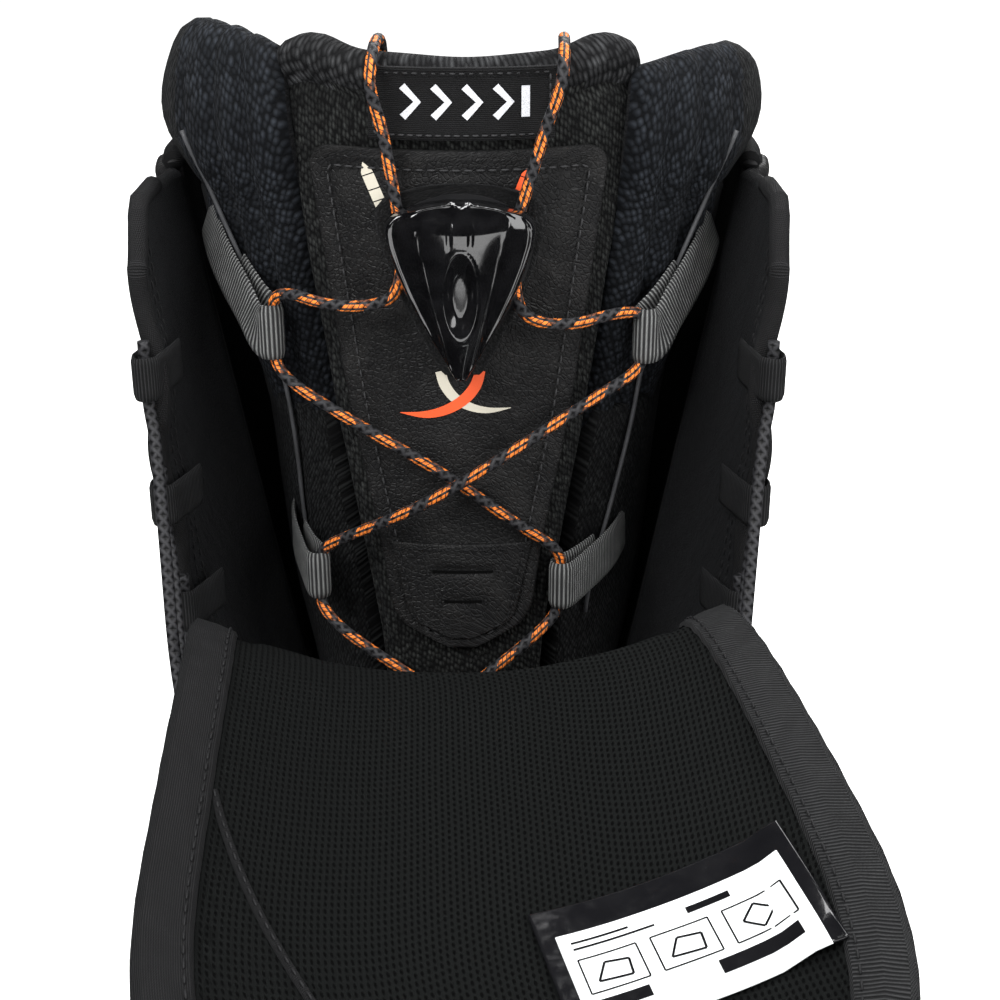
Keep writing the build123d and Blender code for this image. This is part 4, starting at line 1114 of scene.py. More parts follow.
def make_wing(side, tag):
    body = f"wing_{tag}"
    bend = ("shell", body, (side * 62, 2, 230), (side * 64, -16, 230))
    reach = [-18 + 60 * t for t in spread(60, 2.2, 2.4)]

    def middle(s, v):
        return sided(wing_surface(s, v), side)

    rib = pad(f"wing_{tag}_panel", middle, reach, spread(150, 2.2, 2.6), 2.2, "u1 v0 v1", [OUTER_SKIN, FLEECE],
        flip=side > 0, top=lambda um, vm, u, v: -0.7 * bump(um, 52, 1.4) - 0.6 * bump(um, 22, 1.6))
    give(rib, None, "shell_fabric", f"wing_{tag}", bend=bend)
    over = [sided(wing_surface(s, 0.995), side) for s in (14, 20, 26, 31, 35, 38.5, 41)]
    down = [sided(wing_surface(42.0, v), side) for v in steps(60)][::-1]
    under = [sided(wing_surface(s, 0.005), side) for s in (41, 36, 30, 24, 18, 12)]
    give(tube(f"wing_{tag}_piping", over + down + under, 2.5, TAPE_SMOOTH), body, "black_webbing")
    for name, s in (("a", 37.0), ("b", 33.6)):
        path = [sided(wing_surface(s, v), side) for v in steps(70)]
        n = [sided(-wing_out(p.z), side) for p in path]
        path = [p + d * 2.2 for p, d in zip(path, n)]
        give(stitches(f"wing_{tag}_stitch_{name}", path, n, THREAD_DARK, 3.6, 2.4), body, "shell_fabric")
    for k, z in enumerate(WING_EYES):
        eye, out = wing_eye(z), wing_out(z)
        ahead = Vector((out.y, -out.x, 0))
        path = [eye - ahead * 15 + out * 3.2, eye - ahead * 9 + out * 3.4, eye - ahead * 3.5 + out * 3.0,
            eye + ahead * 0.6 + out * 3.1]
        path += [eye + ahead * 3.1 + out * 1.2, eye + ahead * 3.1 - out * 1.2, eye + ahead * 0.6 - out * 3.1,
            eye - ahead * 3.5 - out * 3.0]
        path += [eye - ahead * 9 - out * 3.2, eye - ahead * 14 - out * 3.0]
        path = [sided(p, side) for p in path]
        loop = strap(f"wing_{tag}_loop_{k}", nurbs(path, 5), Vector((0, 0, 1)), 11.0, 1.1, TAPE)
        give(loop, body, "black_webbing", *([f"wing_loops_{tag}"] if k == 0 else []))


make_wing(-1, "left")
make_wing(1, "right")
for side in (-1, 1):
    low, high = Vector((side * (FLEX_LOW[0] + 0.5), FLEX_Y, 156)), Vector((side * flex_x(298.0), FLEX_Y, 298))
    roll = tube(f"flex_cord_{'left' if side < 0 else 'right'}", [low.lerp(high, t) for t in steps(20)], 1.6,
        TAPE_SMOOTH)
    give(roll, "shell", "shell_fabric", *(["wing_flex_rolls"] if side < 0 else []))


# ---------------------------------------------------------------- outer tongue
TONGUE_ROWS = [(*place, half, radius) for place, half, radius in TONGUE_PATH]


def smooth_row(t):
    """y, z, half width and trough radius at row t of the outer tongue's path."""
    return on_spline(TONGUE_ROWS, t)


def tongue_at(t, x, n):
    """A point of the outer tongue: x across it, n above its lining."""
    y, z, _, radius = smooth_row(t)
    x = x * (1 - 0.08 * ramp(2.0, 4.5, t)) + 9.0 * ramp(3.0, 8.6, t)
    y0, z0, _, _ = smooth_row(max(0.0, t - 0.05))
    y1, z1, _, _ = smooth_row(min(9.0, t + 0.05))
    up = Vector((0, y1 - y0, z1 - z0)).normalized()
    normal = Vector((0, up.z, -up.y))
    sag = radius - math.sqrt(max(0.0, radius**2 - x**2))
    p = Vector((x, y, z)) + normal * (sag + n)
    skew = math.radians(3.0 * ramp(2, 5, t))
    dx, dy = p.x, p.y + 88.0
    return Vector((dx * math.cos(skew) - dy * math.sin(skew), dx * math.sin(skew) + dy * math.cos(skew) - 88.0, p.z))


def tongue_half(t):
    return smooth_row(t)[2]


TONGUE_BEND = ("shell", "outer_tongue", (0, -86, 168), (0, -112, 205.6))
TONGUE_T = [i / 9.0 for i in range(0, 82)]


def lining_swell(x, t):
    """How the lining's padding rises and falls, in mm."""
    half = tongue_half(t)
    edge = 1 - abs(x) / half
    return 0.9 * ramp(0.0, 0.3, edge) + 0.7 * rough((x, t * 26, 0), 26.0, 2.0) - 0.8 * bump(abs(x), half - 13, 1.6)


def make_outer_tongue():
    across = [2 * u - 1 for u in spread(140, 4.2, 3.0)]

    def middle(t, u):
        half = tongue_half(t) - 1.6
        bends = 0.7 * math.sin(u * 9 + 1) * bump(t, 3.4, 0.6) + 0.5 * math.sin(t * 9.0) * bump(t, 3.5, 0.8)
        return tongue_at(t, u * half, -4.2 + bends)

    whole = pad("outer_tongue_pad", middle, TONGUE_T, across, 4.1, "u1 v0 v1", [SPACER, OUTER_SKIN],
        top=lambda um, vm, t, u: lining_swell(u * (tongue_half(t) - 1.6), t))
    give(whole, None, "tongue_mesh", "tongue_bend", "tongue_flap_padding", "tongue_flap_skin", "tongue_foot_padding",
        "tongue_foot_skin", fill=0.7, bend=TONGUE_BEND)


def edge_tape(side, tag, material, width):
    section = [(-width, 0.9), (-width + 0.5, 1.9), (-width * 0.5, 2.1), (-1.2, 1.6), (0.8, -0.6), (1.4, -4.2),
        (0.8, -7.8), (-1.2, -9.4), (-width * 0.5, -9.5), (-width, -8.7)]

    def point(t, k):
        i = min(len(section) - 2, int(k))
        a, b = section[i], section[i + 1]
        x, n = a[0] + (b[0] - a[0]) * (k - i), a[1] + (b[1] - a[1]) * (k - i)
        wave = 0.35 * math.sin(t * 23.0) + 0.3 * rough((t * 30, 0, side), 9.0, 4.0)
        return tongue_at(t, side * (tongue_half(t) - 1.0 + x), n + wave * (1 if n > 0 else -1) * 0.6)

    ks = [k / 3 for k in range(0, (len(section) - 1) * 3 + 1)]
    ts = [0.9 + (8.98 - 0.9) * i / 120 for i in range(121)]
    thing = sheet_grid(f"tongue_tape_{tag}", point, ts, ks, [material])
    give(thing, None, "black_webbing", *(["tongue_binding"] if side < 0 else []), bend=TONGUE_BEND)
    line = [tongue_at(t, side * (tongue_half(t) - 1.0 - width + 1.8), 2.1) for t in ts]
    inner = [(t, side * (tongue_half(t) - 8)) for t in ts]
    up = [(tongue_at(t, x, 6) - tongue_at(t, x, 1)).normalized() for t, x in inner]
    give(stitches(f"tongue_tape_stitch_{tag}", line, up, THREAD_DARK, 3.3, 2.2, 0.3), None, "black_webbing",
        bend=TONGUE_BEND)


make_outer_tongue()
edge_tape(-1, "left", TAPE_SMOOTH, 11.0)
edge_tape(1, "right", TWILL, 11.5)
tip = [tongue_at(8.97, (tongue_half(8.97) - 1.5) * u, -4.2) for u in [k / 20 - 1 for k in range(41)]]
give(tube("tongue_tip_tape", tip, 5.3, TAPE_SMOOTH), "outer_tongue", "black_webbing")


def flap_surface(x, q, lift):
    """Places on the folded tongue's lining: x across, q in mm forward of its fold."""
    far = [0.0]
    ts = [3.0 + i / 10 for i in range(61)]
    pts = [tongue_at(t, 0, 0) for t in ts]
    for a, b in zip(pts, pts[1:]):
        far.append(far[-1] + (b - a).length)
    for i in range(len(ts) - 1):
        if q <= far[i + 1] or i == len(ts) - 2:
            t = ts[i] + (q - far[i]) / (far[i + 1] - far[i]) * 0.1
            return tongue_at(min(t, 8.95), x, lift + lining_swell(x, t))
    return tongue_at(8.9, x, lift)


LABEL_Q, LABEL_X, LABEL_TURN = 114.5, 33.5, 10.0


def make_lining_seam():
    """The curved seam at the lining's left."""
    route = [(-61 + 0.5 * k + 0.022 * k * k, 74 + 2.4 * k) for k in range(26)]
    line = [flap_surface(x, q, 0.25) for x, q in route]
    up = [(flap_surface(x, q, 2.0) - flap_surface(x, q, 0.5)).normalized() for x, q in route]
    give(tube("lining_seam", line, 0.9, TAPE_SMOOTH, 8), "outer_tongue", "tongue_mesh")
    give(stitches("lining_seam_stitch", [p + n * 0.7 for p, n in zip(line, up)], up, THREAD_DARK, 3.0, 2.0, 0.3),
        "outer_tongue", "tongue_mesh")


def label_surface(s, t, lift):
    """Places on the label: s across it, t towards the fold."""
    turn = math.radians(LABEL_TURN)
    x = LABEL_X + s * math.cos(turn) - t * math.sin(turn)
    q = LABEL_Q - s * math.sin(turn) - t * math.cos(turn)
    return flap_surface(x, q, lift + 1.6 * ramp(50, 56, x))


def make_label():
    def middle(u, v):
        return label_surface(u, v, 0.7)

    frame_ = pad("label_frame", middle, [-27 + 54 * u for u in spread(54, 0.8, 3)],
        [-16 + 32 * u for u in spread(32, 0.8, 3)], 0.5, "u0 u1 v0 v1", [VINYL_BLACK])
    give(frame_, "outer_tongue", "label", "tongue_label")
    panel = pad("label_panel", lambda u, v: label_surface(u, v, 1.35), [-23.5 + 47 * u for u in spread(47, 0.4, 3)],
        [-16.5 + 25 * u for u in spread(25, 0.4, 3)], 0.25, "u0 u1 v0 v1", [VINYL_WHITE])
    give(panel, "outer_tongue", "label")
    marks = []
    for k, (s0, s1) in enumerate(((-21, -9), (-6, 6), (9, 21))):
        for a, b in (((s0, -7), (s1, -7)), ((s0, 1.5), (s1, 1.5)), ((s0, -7), (s0, 1.5)), ((s1, -7), (s1, 1.5))):
            marks.append(((*a, 0.35), (*b, 0.35)))
        c = (s0 + s1) / 2
        shape = [(c - 3.6, -4.6), (c - 1.2, -0.6), (c + 3.6, -1.4), (c + 3.2, -5.2), (c - 3.6, -4.6)]
        if k == 2:
            shape = [(c - 3.2, -2.8), (c, 0.2), (c + 3.2, -2.8), (c, -5.8), (c - 3.2, -2.8)]
        for a, b in zip(shape, shape[1:]):
            marks.append(((*a, 0.5), (*b, 0.5)))
    marks += [((-21, 4.2, 0.5), (-4, 4.2, 0.5)), ((-21, 5.8, 0.5), (-9, 5.8, 0.5)), ((3, 4.8, 1.6), (12, 4.8, 1.6)),
        ((-21, -10, 2.6), (-10, -10, 2.6)), ((4, -10.5, 3.2), (20, -10.5, 3.2))]
    strokes = []
    for i, (a, b) in enumerate(marks):
        line = [tuple(p + (q - p) * k / 5 for p, q in zip(a, b)) for k in range(6)]
        strokes.append(ribbon(f"mark_{i}", line, label_surface, VINYL_BLACK, 1.72))
    give(join("label_marks", strokes), "outer_tongue", "label")


make_label()
make_lining_seam()
repaint(MATT, "tongue_fold_cord")


def gathered(point, columns, rows):
    """Works out the width and height of the flat cloth a gusset is gathered from, along the sheet's own middle lines,
    and returns neither.
    """
    wide = sum((point((i + 1) / columns, 0.5) - point(i / columns, 0.5)).length for i in range(columns))
    tall = sum((point(0.5, (i + 1) / rows) - point(0.5, i / rows)).length for i in range(rows))


def make_gussets():
    """Thin sheets that join the outer tongue's foot to the throat."""
    for side, tag in SIDES:
        def point(u, v, side=side):
            t = 0.15 + 1.85 * v
            z = smooth_row(t)[1]
            a = tongue_at(t, side * (tongue_half(t) - 3.0), -3.0)
            zb = min(149.0, max(95.0, z))
            b = shell_at(zb, side * (throat_angle(zb) + 0.05), -5.0)
            if z > 149:
                b = sided(wing_point(z, 30, -3.5), side)
            mid = (a + b) / 2 + Vector((-side * 9.0, 6.0, -4.0)) * (0.5 + 0.5 * v)
            p = a * (1 - u) ** 2 + mid * 2 * u * (1 - u) + b * u * u
            return p + Vector((0, 1, 0)) * 1.3 * math.sin(v * 17 + u * 4) * math.sin(math.pi * u)

        thing = pad(f"gusset_{tag}", point, steps(18), steps(30), 0.7, "", [OUTER_SKIN, FLEECE], flip=side > 0)
        give(thing, "shell", "shell_fabric")
        gathered(point, 18, 30)


make_gussets()

# ---------------------------------------------------------------- shell laces
BLACK_RADIUS = 1.5
LOWER_GUIDES = [(-84.0, 104.0), (-69.0, 119.0), (-57.0, 137.0)]


def lower_route(y, z):
    eye = Vector((45.5 + 0.08 * (z - 104), y, z))
    rows = [(r[0][1], r[0][0], r[1] - 2.6, r[2]) for r in TONGUE_PATH[:3]]
    high = z + 6.4
    lining, half, radius = between(rows, high)
    over = lining - 8.4 - 2.4
    sag = radius - math.sqrt(radius**2 - half**2)
    points = [(-eye.x, y + 3.06, z - 2.57), (-eye.x, y - 7.66, high), (-half - 4.8, lining + sag - 5.5, high + 0.6)]
    points += [(-half + 1.5, over + sag - 2.0, high + 0.8), (-half / 2, over + 0.18 * sag - 0.6, high + 0.4),
        (0.0, over - 1.2, high)]
    return points + [(-px, py, pz) for px, py, pz in reversed(points[:5])]


for k, (y, z) in enumerate(LOWER_GUIDES):
    give(tube(f"lower_lace_{k}", nurbs(lower_route(y, z)), BLACK_RADIUS, BLACK_BRAID), "shell", "black_lace",
        *(["lower_lace"] if k == 0 else []))
repaint(TAPE_SMOOTH, "lower_lace_guides")


def shell_route(z, side):
    """Half of a crossing: from the middle under the folded tongue to one wing's eye."""
    eye = wing_eye(z)
    low_y, low_z = -104.0 - 0.10 * (z - 198), 168.0 - 0.12 * (262 - z)
    points = [(0.0, low_y - 3, low_z - 3), (side * 22.0, low_y - 2, low_z - 2), (side * 44.0, low_y, low_z),
        (side * 66.0, low_y + 13, low_z + 8)]
    return points + [(side * eye.x * 0.97, eye.y - 5, z - 16.0), (side * eye.x, eye.y, z - 8.0),
        (side * eye.x, eye.y, z), (side * eye.x, eye.y, z + 9.0)]


first = True
for side, tag in SIDES:
    for k, z in enumerate(WING_EYES):
        thing = tube(f"shell_lace_{tag}_{k}", nurbs(shell_route(z, side)), BLACK_RADIUS, BLACK_BRAID)
        give(thing, None, "black_lace", *(["shell_lace"] if first else []),
            bend=("shell", f"wing_{tag}", (side * 62, -98, 165), (side * 75, -58, z - 10)))
        first = False


# ---------------------------------------------------------------- liner
def opening_angle(z, table=LINER, grow=0.0, inset=0.0):
    return angle_at_x(table, z, between(OPENING, z)[0] + inset, grow)


def make_liner_lower():
    levels = [32, 38, 46, 54, 62, 69, 75, 80, 84, 88, 92, 97, 103, 110, 118, 128, 140, 152, 165, 178, 190, 202, 214,
        226, 236, 244]

    def middle(u, z):
        start = opening_angle(z, inset=2.0) * ramp(97, 112, z)
        angle = start + (2 * math.pi - 2 * start) * u
        p = on_ring(LINER, z, angle, -5.6)
        out = Vector((p.x, p.y - 20, 0)).normalized()
        return p + out * (0.7 * rough(p, 30.0, 11.0) - 0.9 * bump(p.z, 186, 2.5) - 0.9 * bump(p.z, 150, 2.5))

    return pad("liner_lower", middle, steps(130), levels, 5.2, "", [KNIT, KNIT_IN])


give(make_liner_lower(), "shell", "liner_knit", "liner_boot", fill=0.8)


CUFF_LOW = 237  # where the liner's cuffs start


def cuff_mid(side, u, v, grow=-7.5):
    z_guess = 320.0
    a0 = opening_angle(z_guess, inset=0.6)
    angle = a0 + (math.pi - 0.004 - a0) * u
    y = on_ring(LINER, 325, angle, grow).y
    top = eased(LOBE_TOP, y)[0] - (4.0 * ramp(40, 0, y) if side > 0 else 0.0)
    z = CUFF_LOW + (top - CUFF_LOW) * v
    a1 = opening_angle(z, inset=0.8)
    angle = a1 + (math.pi - 0.004 - a1) * u
    return sided(on_ring(LINER, z, angle, grow), side)


def make_cuff(side, tag):
    def middle(u, v):
        p = cuff_mid(side, u, v)
        out = Vector((p.x, p.y - 25, 0)).normalized()
        return p + out * 0.8 * rough(p, 24.0, 6.0 + side)

    def ridges(um, vm, u, v):
        long_seams = -2.3 * bump(um, 8.5, 1.5) - 2.3 * bump(um, 17.0, 1.5) - 1.8 * bump(um, 27.0, 1.4)
        cross_seam = -1.9 * bump(vm, 62.0 + 5 * math.sin(u * 4), 1.4) * ramp(28, 31, um)
        swell = 0.8 * bump(um, 4.0, 4) + 0.8 * bump(um, 13.5, 3.5) + 0.9 * bump(um, 24, 4.5)
        return long_seams + cross_seam + swell

    def half_thick(u, v):
        return 7.2 - 1.6 * ramp(0.9, 0.0, v) * 0.6

    thing = pad(f"liner_cuff_pad_{tag}", middle, spread(190, 7.0, 2.6), spread(100, 7.0, 2.6), half_thick,
        "u0 v0 v1", [KNIT, KNIT_IN], top=ridges, low=lambda um, vm, u, v: 0.7 * math.sin(vm / 7.0) ** 2,
        flip=side < 0)
    thing.data.materials.append(KNIT_EDGE)
    layer = thing.data.uv_layers[0].data
    for face in thing.data.polygons:
        if face.material_index == 0 and layer[face.loop_start].uv.x < 3.0:
            face.material_index = 2
    give(thing, "shell", "liner_knit", f"liner_cuff_{tag}", fill=0.85)


make_cuff(-1, "left")
make_cuff(1, "right")
EDGE_LINE = [(184.0, 40.0), (210.0, 43.0), (230.0, 44.0), (262.0, 47.5), (282.0, 54.0), (300.0, 61.5), (316.0, 67.5)]
for side, tag in SIDES:
    line = []
    for i in range(45):
        z = 184 + 3.0 * i
        x = eased(EDGE_LINE, z)[0] - (7.0 * ramp(245, 190, z) if side > 0 else 0.0)
        p = on_ring(LINER, z, angle_at_x(LINER, z, x), 0.7)
        line.append(sided(p, side))
    give(tube(f"liner_edge_line_{tag}", line, 0.6, EDGE_GREY, 8), "shell", "liner_knit")
heel_loop = [(0, 103.5, 290), (0, 107.0, 291.5), (0, 111.2, 294), (0, 112.0, 298), (0, 111.4, 302.5), (0, 107.5, 306),
    (0, 103.5, 307.5)]
give(strap("liner_loop_band", nurbs(heel_loop, 6), Vector((1, 0, 0)), 19.0, 1.8, WEB), "shell", "webbing",
    "liner_heel_loop")


def make_footbed():
    def middle(u, v):
        y = -120 + 255 * u
        half = max(2.0, on_ring(LINER, 44.0, angle_at_y(LINER, 44.0, y, -12.5), -12.5).x) if -132 < y < 135 else 2.0
        x = half * (2 * v - 1)
        z = sole_line(1, y) + 13.0 + 3.2 * abs(2 * v - 1) ** 3 * ramp(-60, 60, y)
        return Vector((x + 0.6 * toe_swing(y), y, z))

    return pad("footbed_felt_pad", middle, spread(255, 2.0, 6), spread(80, 2.0, 5), 1.9, "u0 u1 v0 v1", [FELT])


give(make_footbed(), "shell", "foam", "footbed", fill=0.9)


# ---------------------------------------------------------------- liner tongue
def shin(x, z, lift=0.0):
    """A place on the liner tongue's front."""
    front = eased(TONGUE_FRONT, z)[0]
    turn = math.asin(max(-1.0, min(1.0, x / TONGUE_RADIUS)))
    lean = (eased(TONGUE_FRONT, z + 2)[0] - eased(TONGUE_FRONT, z - 2)[0]) / 4.0
    out = Vector((math.sin(turn), -math.cos(turn), lean)).normalized()
    base = Vector((x, front + TONGUE_RADIUS - TONGUE_RADIUS * math.cos(turn), z))
    return base + out * lift


def shin_half(z):
    return between(OPENING, z)[0] - 0.8


def make_liner_tongue():
    def middle(u, v):
        x_share = 2 * u - 1
        top = 337.0 + 3.2 * bump(abs(x_share), 0.80, 0.16) - 1.0 * bump(x_share, 0.05, 0.3)
        top -= 3.0 * ramp(0.92, 1.0, abs(x_share))
        z = 114 + (top - 114) * v
        half = shin_half(z) + 1.2 * ramp(320, 336, z)
        return shin(half * x_share, z, -5.9)

    def shape(um, vm, u, v):
        x_share = abs(2 * u - 1)
        z = 114 + 224 * v
        roll = 1.5 * ramp(328, 332, z) - 1.4 * bump(z, 327.0, 1.2)
        edges = -1.2 * bump(x_share, 0.90, 0.022) * ramp(300, 280, z)
        return roll + edges + 0.6 * rough((um, vm, 0), 17.0, 9.0)

    thing = pad("liner_tongue_pad", middle, spread(88, 5.8, 2.2), spread(228, 5.8, 2.6), 5.6, "u0 u1 v1",
        [TONGUE_KNIT, KNIT_IN], top=shape)
    thing.data.materials.append(ROLL_KNIT)
    for face in thing.data.polygons:
        if face.material_index == 0 and face.center.z > 0.3290:
            face.material_index = 2
    give(thing, "liner_tongue", "liner_knit", "liner_tongue", "tongue_roll", fill=0.8)


def patch_half(z):
    w = between([(183.5, 11.0), (190.0, 17.5), (215.0, 21.0), (250.0, 27.5), (315.6, 36.0)], z)[0]
    if z > 309.6:
        w -= 6.0 * (1 - math.sqrt(max(0.0, 1 - ((z - 309.6) / 6.0) ** 2)))
    if z < 197:
        w *= math.sqrt(max(0.02, 1 - ((197 - z) / 13.8) ** 2))
    return w


def make_patch():
    levels = [183.6 + 132.0 * v for v in spread(132, 2.5, 2.0)]

    def middle(u, z):
        return shin(patch_half(z) * (2 * u - 1), z, 0.85)

    def fold(um, vm, u, z):
        inside = min((1 - abs(2 * u - 1)) * patch_half(z), z - 183.6, 315.6 - z)
        return 0.35 * ramp(3.4, 2.6, inside) - 0.5 * bump(inside, 4.6, 0.6) + 0.35 * rough((um, z, 0), 15.0, 8.0)

    thing = pad("tongue_patch_skin", middle, spread(64, 1.2, 1.6), levels, 0.85, "u0 u1 v0 v1", [PATCH_SKIN],
        top=fold)
    give(thing, "liner_tongue", "patch_leather", "tongue_patch")
    path = [(-patch_half(z) + 4.6, z) for z in [187 + i * 2.4 for i in range(52)]]
    path += [(x, 311.0) for x in range(-30, 31, 3)] + [(-x, z) for x, z in reversed(path)]
    line = [shin(x, z, 1.75) for x, z in path]
    outs = [(shin(x, z, 5) - shin(x, z, 1)).normalized() for x, z in path]
    give(stitches("tongue_patch_stitch", line, outs, THREAD, 2.9, 2.0, 0.27), "liner_tongue", "patch_leather")


def foot_half(z):
    w = between([(186.5, 6.5), (191.0, 13.0), (214.0, 17.8)], z)[0]
    return w * math.sqrt(max(0.03, 1 - max(0.0, (195 - z) / 9.0) ** 2))


def make_patch_foot():
    levels = [186.6 + 27.2 * v for v in spread(27.2, 1.0, 1.3)]

    def middle(u, z):
        return shin(foot_half(z) * (2 * u - 1), z, 2.2)

    def slits(um, vm, u, z):
        x = foot_half(z) * (2 * u - 1)
        cut = 0.0
        for at, reach in ((206.0, 8.0), (197.5, 5.2)):
            cut += bump(z, at, 0.55) * ramp(reach + 0.6, reach - 0.6, abs(x - 0.3))
        return -1.3 * cut

    thing = pad("patch_foot_skin", middle, spread(36, 0.8, 1.1), levels, 0.55, "u0 u1 v0 v1", [PATCH_SKIN], top=slits)
    give(thing, "liner_tongue", "patch_leather", "patch_foot")
    parts = []
    # the near-black strips along the two slits are painted shade in the slits; the stitches are real thread
    for at, reach in ((206.0, 7.6), (197.5, 4.8)):  # the two slits: height, half length
        line = [(0.3 - reach + 2 * reach * k / 12, at, 0.75) for k in range(13)]
        parts.append(ribbon(f"slit_{at}", line, lambda s_, t_, lift: shin(s_, t_, 2.62 + lift), SLIT_SHADOW, 0.0))
    for at, reach in ((206.0, 8.6), (197.5, 5.8)):
        for x in (-reach, reach):
            path = [shin(x + 0.3, at + d, 2.9) for d in (-1.4, 0, 1.4)]
            parts.append(stitches(f"bar_{at}_{x}", path, Vector((0, -1, 0)), THREAD_DARK, 1.0, 0.8, 0.3))
    edge = [(-foot_half(z) + 1.6, z) for z in [189 + i * 1.6 for i in range(15)]]
    edge = edge + [(x, 212.4) for x in range(-15, 16, 3)] + [(-x, z) for x, z in reversed(edge)]
    parts.append(stitches("rim", [shin(x, z, 2.85) for x, z in edge], Vector((0, -1, 0)), THREAD_DARK, 2.4, 1.6,
        0.24))
    give(join("patch_foot_stitch_and_slit_shade", parts), "liner_tongue", "patch_leather")


def make_tag():
    levels = [317.9 + 17.2 * v for v in spread(17.2, 0.8, 1.5)]

    def middle(u, z):
        return shin(-20.5 + 43.0 * u, z, 1.5 + 0.9 * ramp(332, 335, z))

    thing = pad("tongue_tag_weave", middle, spread(43, 0.8, 1.5), levels, 0.55, "u0 u1 v0 v1", [TAPE_SMOOTH])
    give(thing, "liner_tongue", "black_webbing", "tongue_tag")
    edge = [(-19.0, z) for z in (333.6, 326, 319.3)] + [(x, 319.3) for x in (-10, 0, 10, 21.0)]
    edge += [(21.0, z) for z in (326, 333.6)] + [(x, 333.6) for x in (10, 0, -10, -18.5)]
    line = [shin(x, z, 2.4) for x, z in edge]
    give(stitches("tongue_tag_stitch", line, Vector((0, -1, 0)), THREAD, 2.2, 1.5, 0.26), "liner_tongue",
        "black_webbing")

    def on_tag(s, t, lift):
        return shin(s, t, 2.25 + lift)

    strokes = []
    for k in range(4):
        x = -10.5 + 7.0 * k
        strokes.append(ribbon(f"chevron_{k}", [(x - 1.8, 330.6, 1.7), (x + 1.6, 327.0, 1.7), (x - 1.8, 323.4, 1.7)],
            on_tag, THREAD_WHITE, 0.0))
    strokes.append(ribbon("bar_mark", [(15.5, 330.6, 1.9), (15.5, 327, 1.9), (15.5, 323.4, 1.9)], on_tag,
        THREAD_WHITE, 0.0))
    give(join("tongue_tag_marks", strokes), "liner_tongue", "black_webbing")


def make_prints():
    def on_patch(s, t, lift):
        return shin(s, t, 1.78 + lift)

    def curve_line(points):
        return [on_spline(points, k / 26 * (len(points) - 1)) for k in range(27)]

    cream = [ribbon("swoosh_cream", curve_line([(-4.6, 261.0, 2.5), (-3.6, 257.4, 2.6), (-1.2, 254.0, 2.5),
        (2.6, 251.6, 2.1), (7.0, 250.6, 1.5), (12.4, 251.0, 0.15)]), on_patch, PRINT_CREAM, 0.14)]
    orange = [ribbon("swoosh_orange", curve_line([(5.0, 261.2, 2.5), (3.8, 257.2, 2.8), (1.0, 253.6, 2.8),
        (-3.4, 250.8, 2.5), (-8.6, 249.4, 1.8), (-14.6, 249.6, 0.15)]), on_patch, PRINT_ORANGE, 0.2)]
    for group, material, top, low in ((cream, PRINT_CREAM, (-22.0, 312.2), (-16.6, 299.0)),
        (orange, PRINT_ORANGE, (16.9, 311.6), (11.9, 298.6))):
        for k, (a, b) in enumerate(((0.0, 0.20), (0.22, 0.46), (0.48, 0.66), (0.68, 0.80), (0.82, 0.93))):
            cells = [a + (b - a) * i / 4 for i in range(5)]
            strokes = [(top[0] + (low[0] - top[0]) * c, top[1] + (low[1] - top[1]) * c, min(2.9, 0.15 + c * 17))
                for c in cells]
            group.append(ribbon(f"dash_{k}", strokes, on_patch, material, 0.12))
    give(join("patch_print_cream", cream), "liner_tongue", "patch_leather")
    give(join("patch_print_orange", orange), "liner_tongue", "patch_leather")


make_liner_tongue()
make_patch()
make_patch_foot()
make_tag()
make_prints()
repaint(TAPE, "lace_anchors")


def make_liner_gussets():
    """Thin folded cloth that closes the liner between its tongue and its sides."""
    for side, tag in SIDES:
        def point(u, v, side=side):
            z = 130 + 178 * v
            a = sided(shin(shin_half(z) - 5.0, z, -10.6), side)
            x = between(OPENING, z)[0] + 9.0
            b = sided(on_ring(LINER, z, angle_at_x(LINER, z, x, -13.6), -13.6), side)
            fold = Vector((-side * 2.0, 5.0, 0)) * math.sin(math.pi * u)
            return a.lerp(b, u) + fold + Vector((0, 0.6 * math.sin(v * 30) * math.sin(math.pi * u), 0))

        thing = pad(f"liner_gusset_{tag}", point, steps(10), steps(50), 0.5, "", [KNIT_IN], flip=side > 0)
        give(thing, None, "liner_knit", bend=("liner_tongue", "shell", tuple(point(0, 0.6)), tuple(point(1, 0.6))))
        gathered(point, 10, 50)


make_liner_gussets()

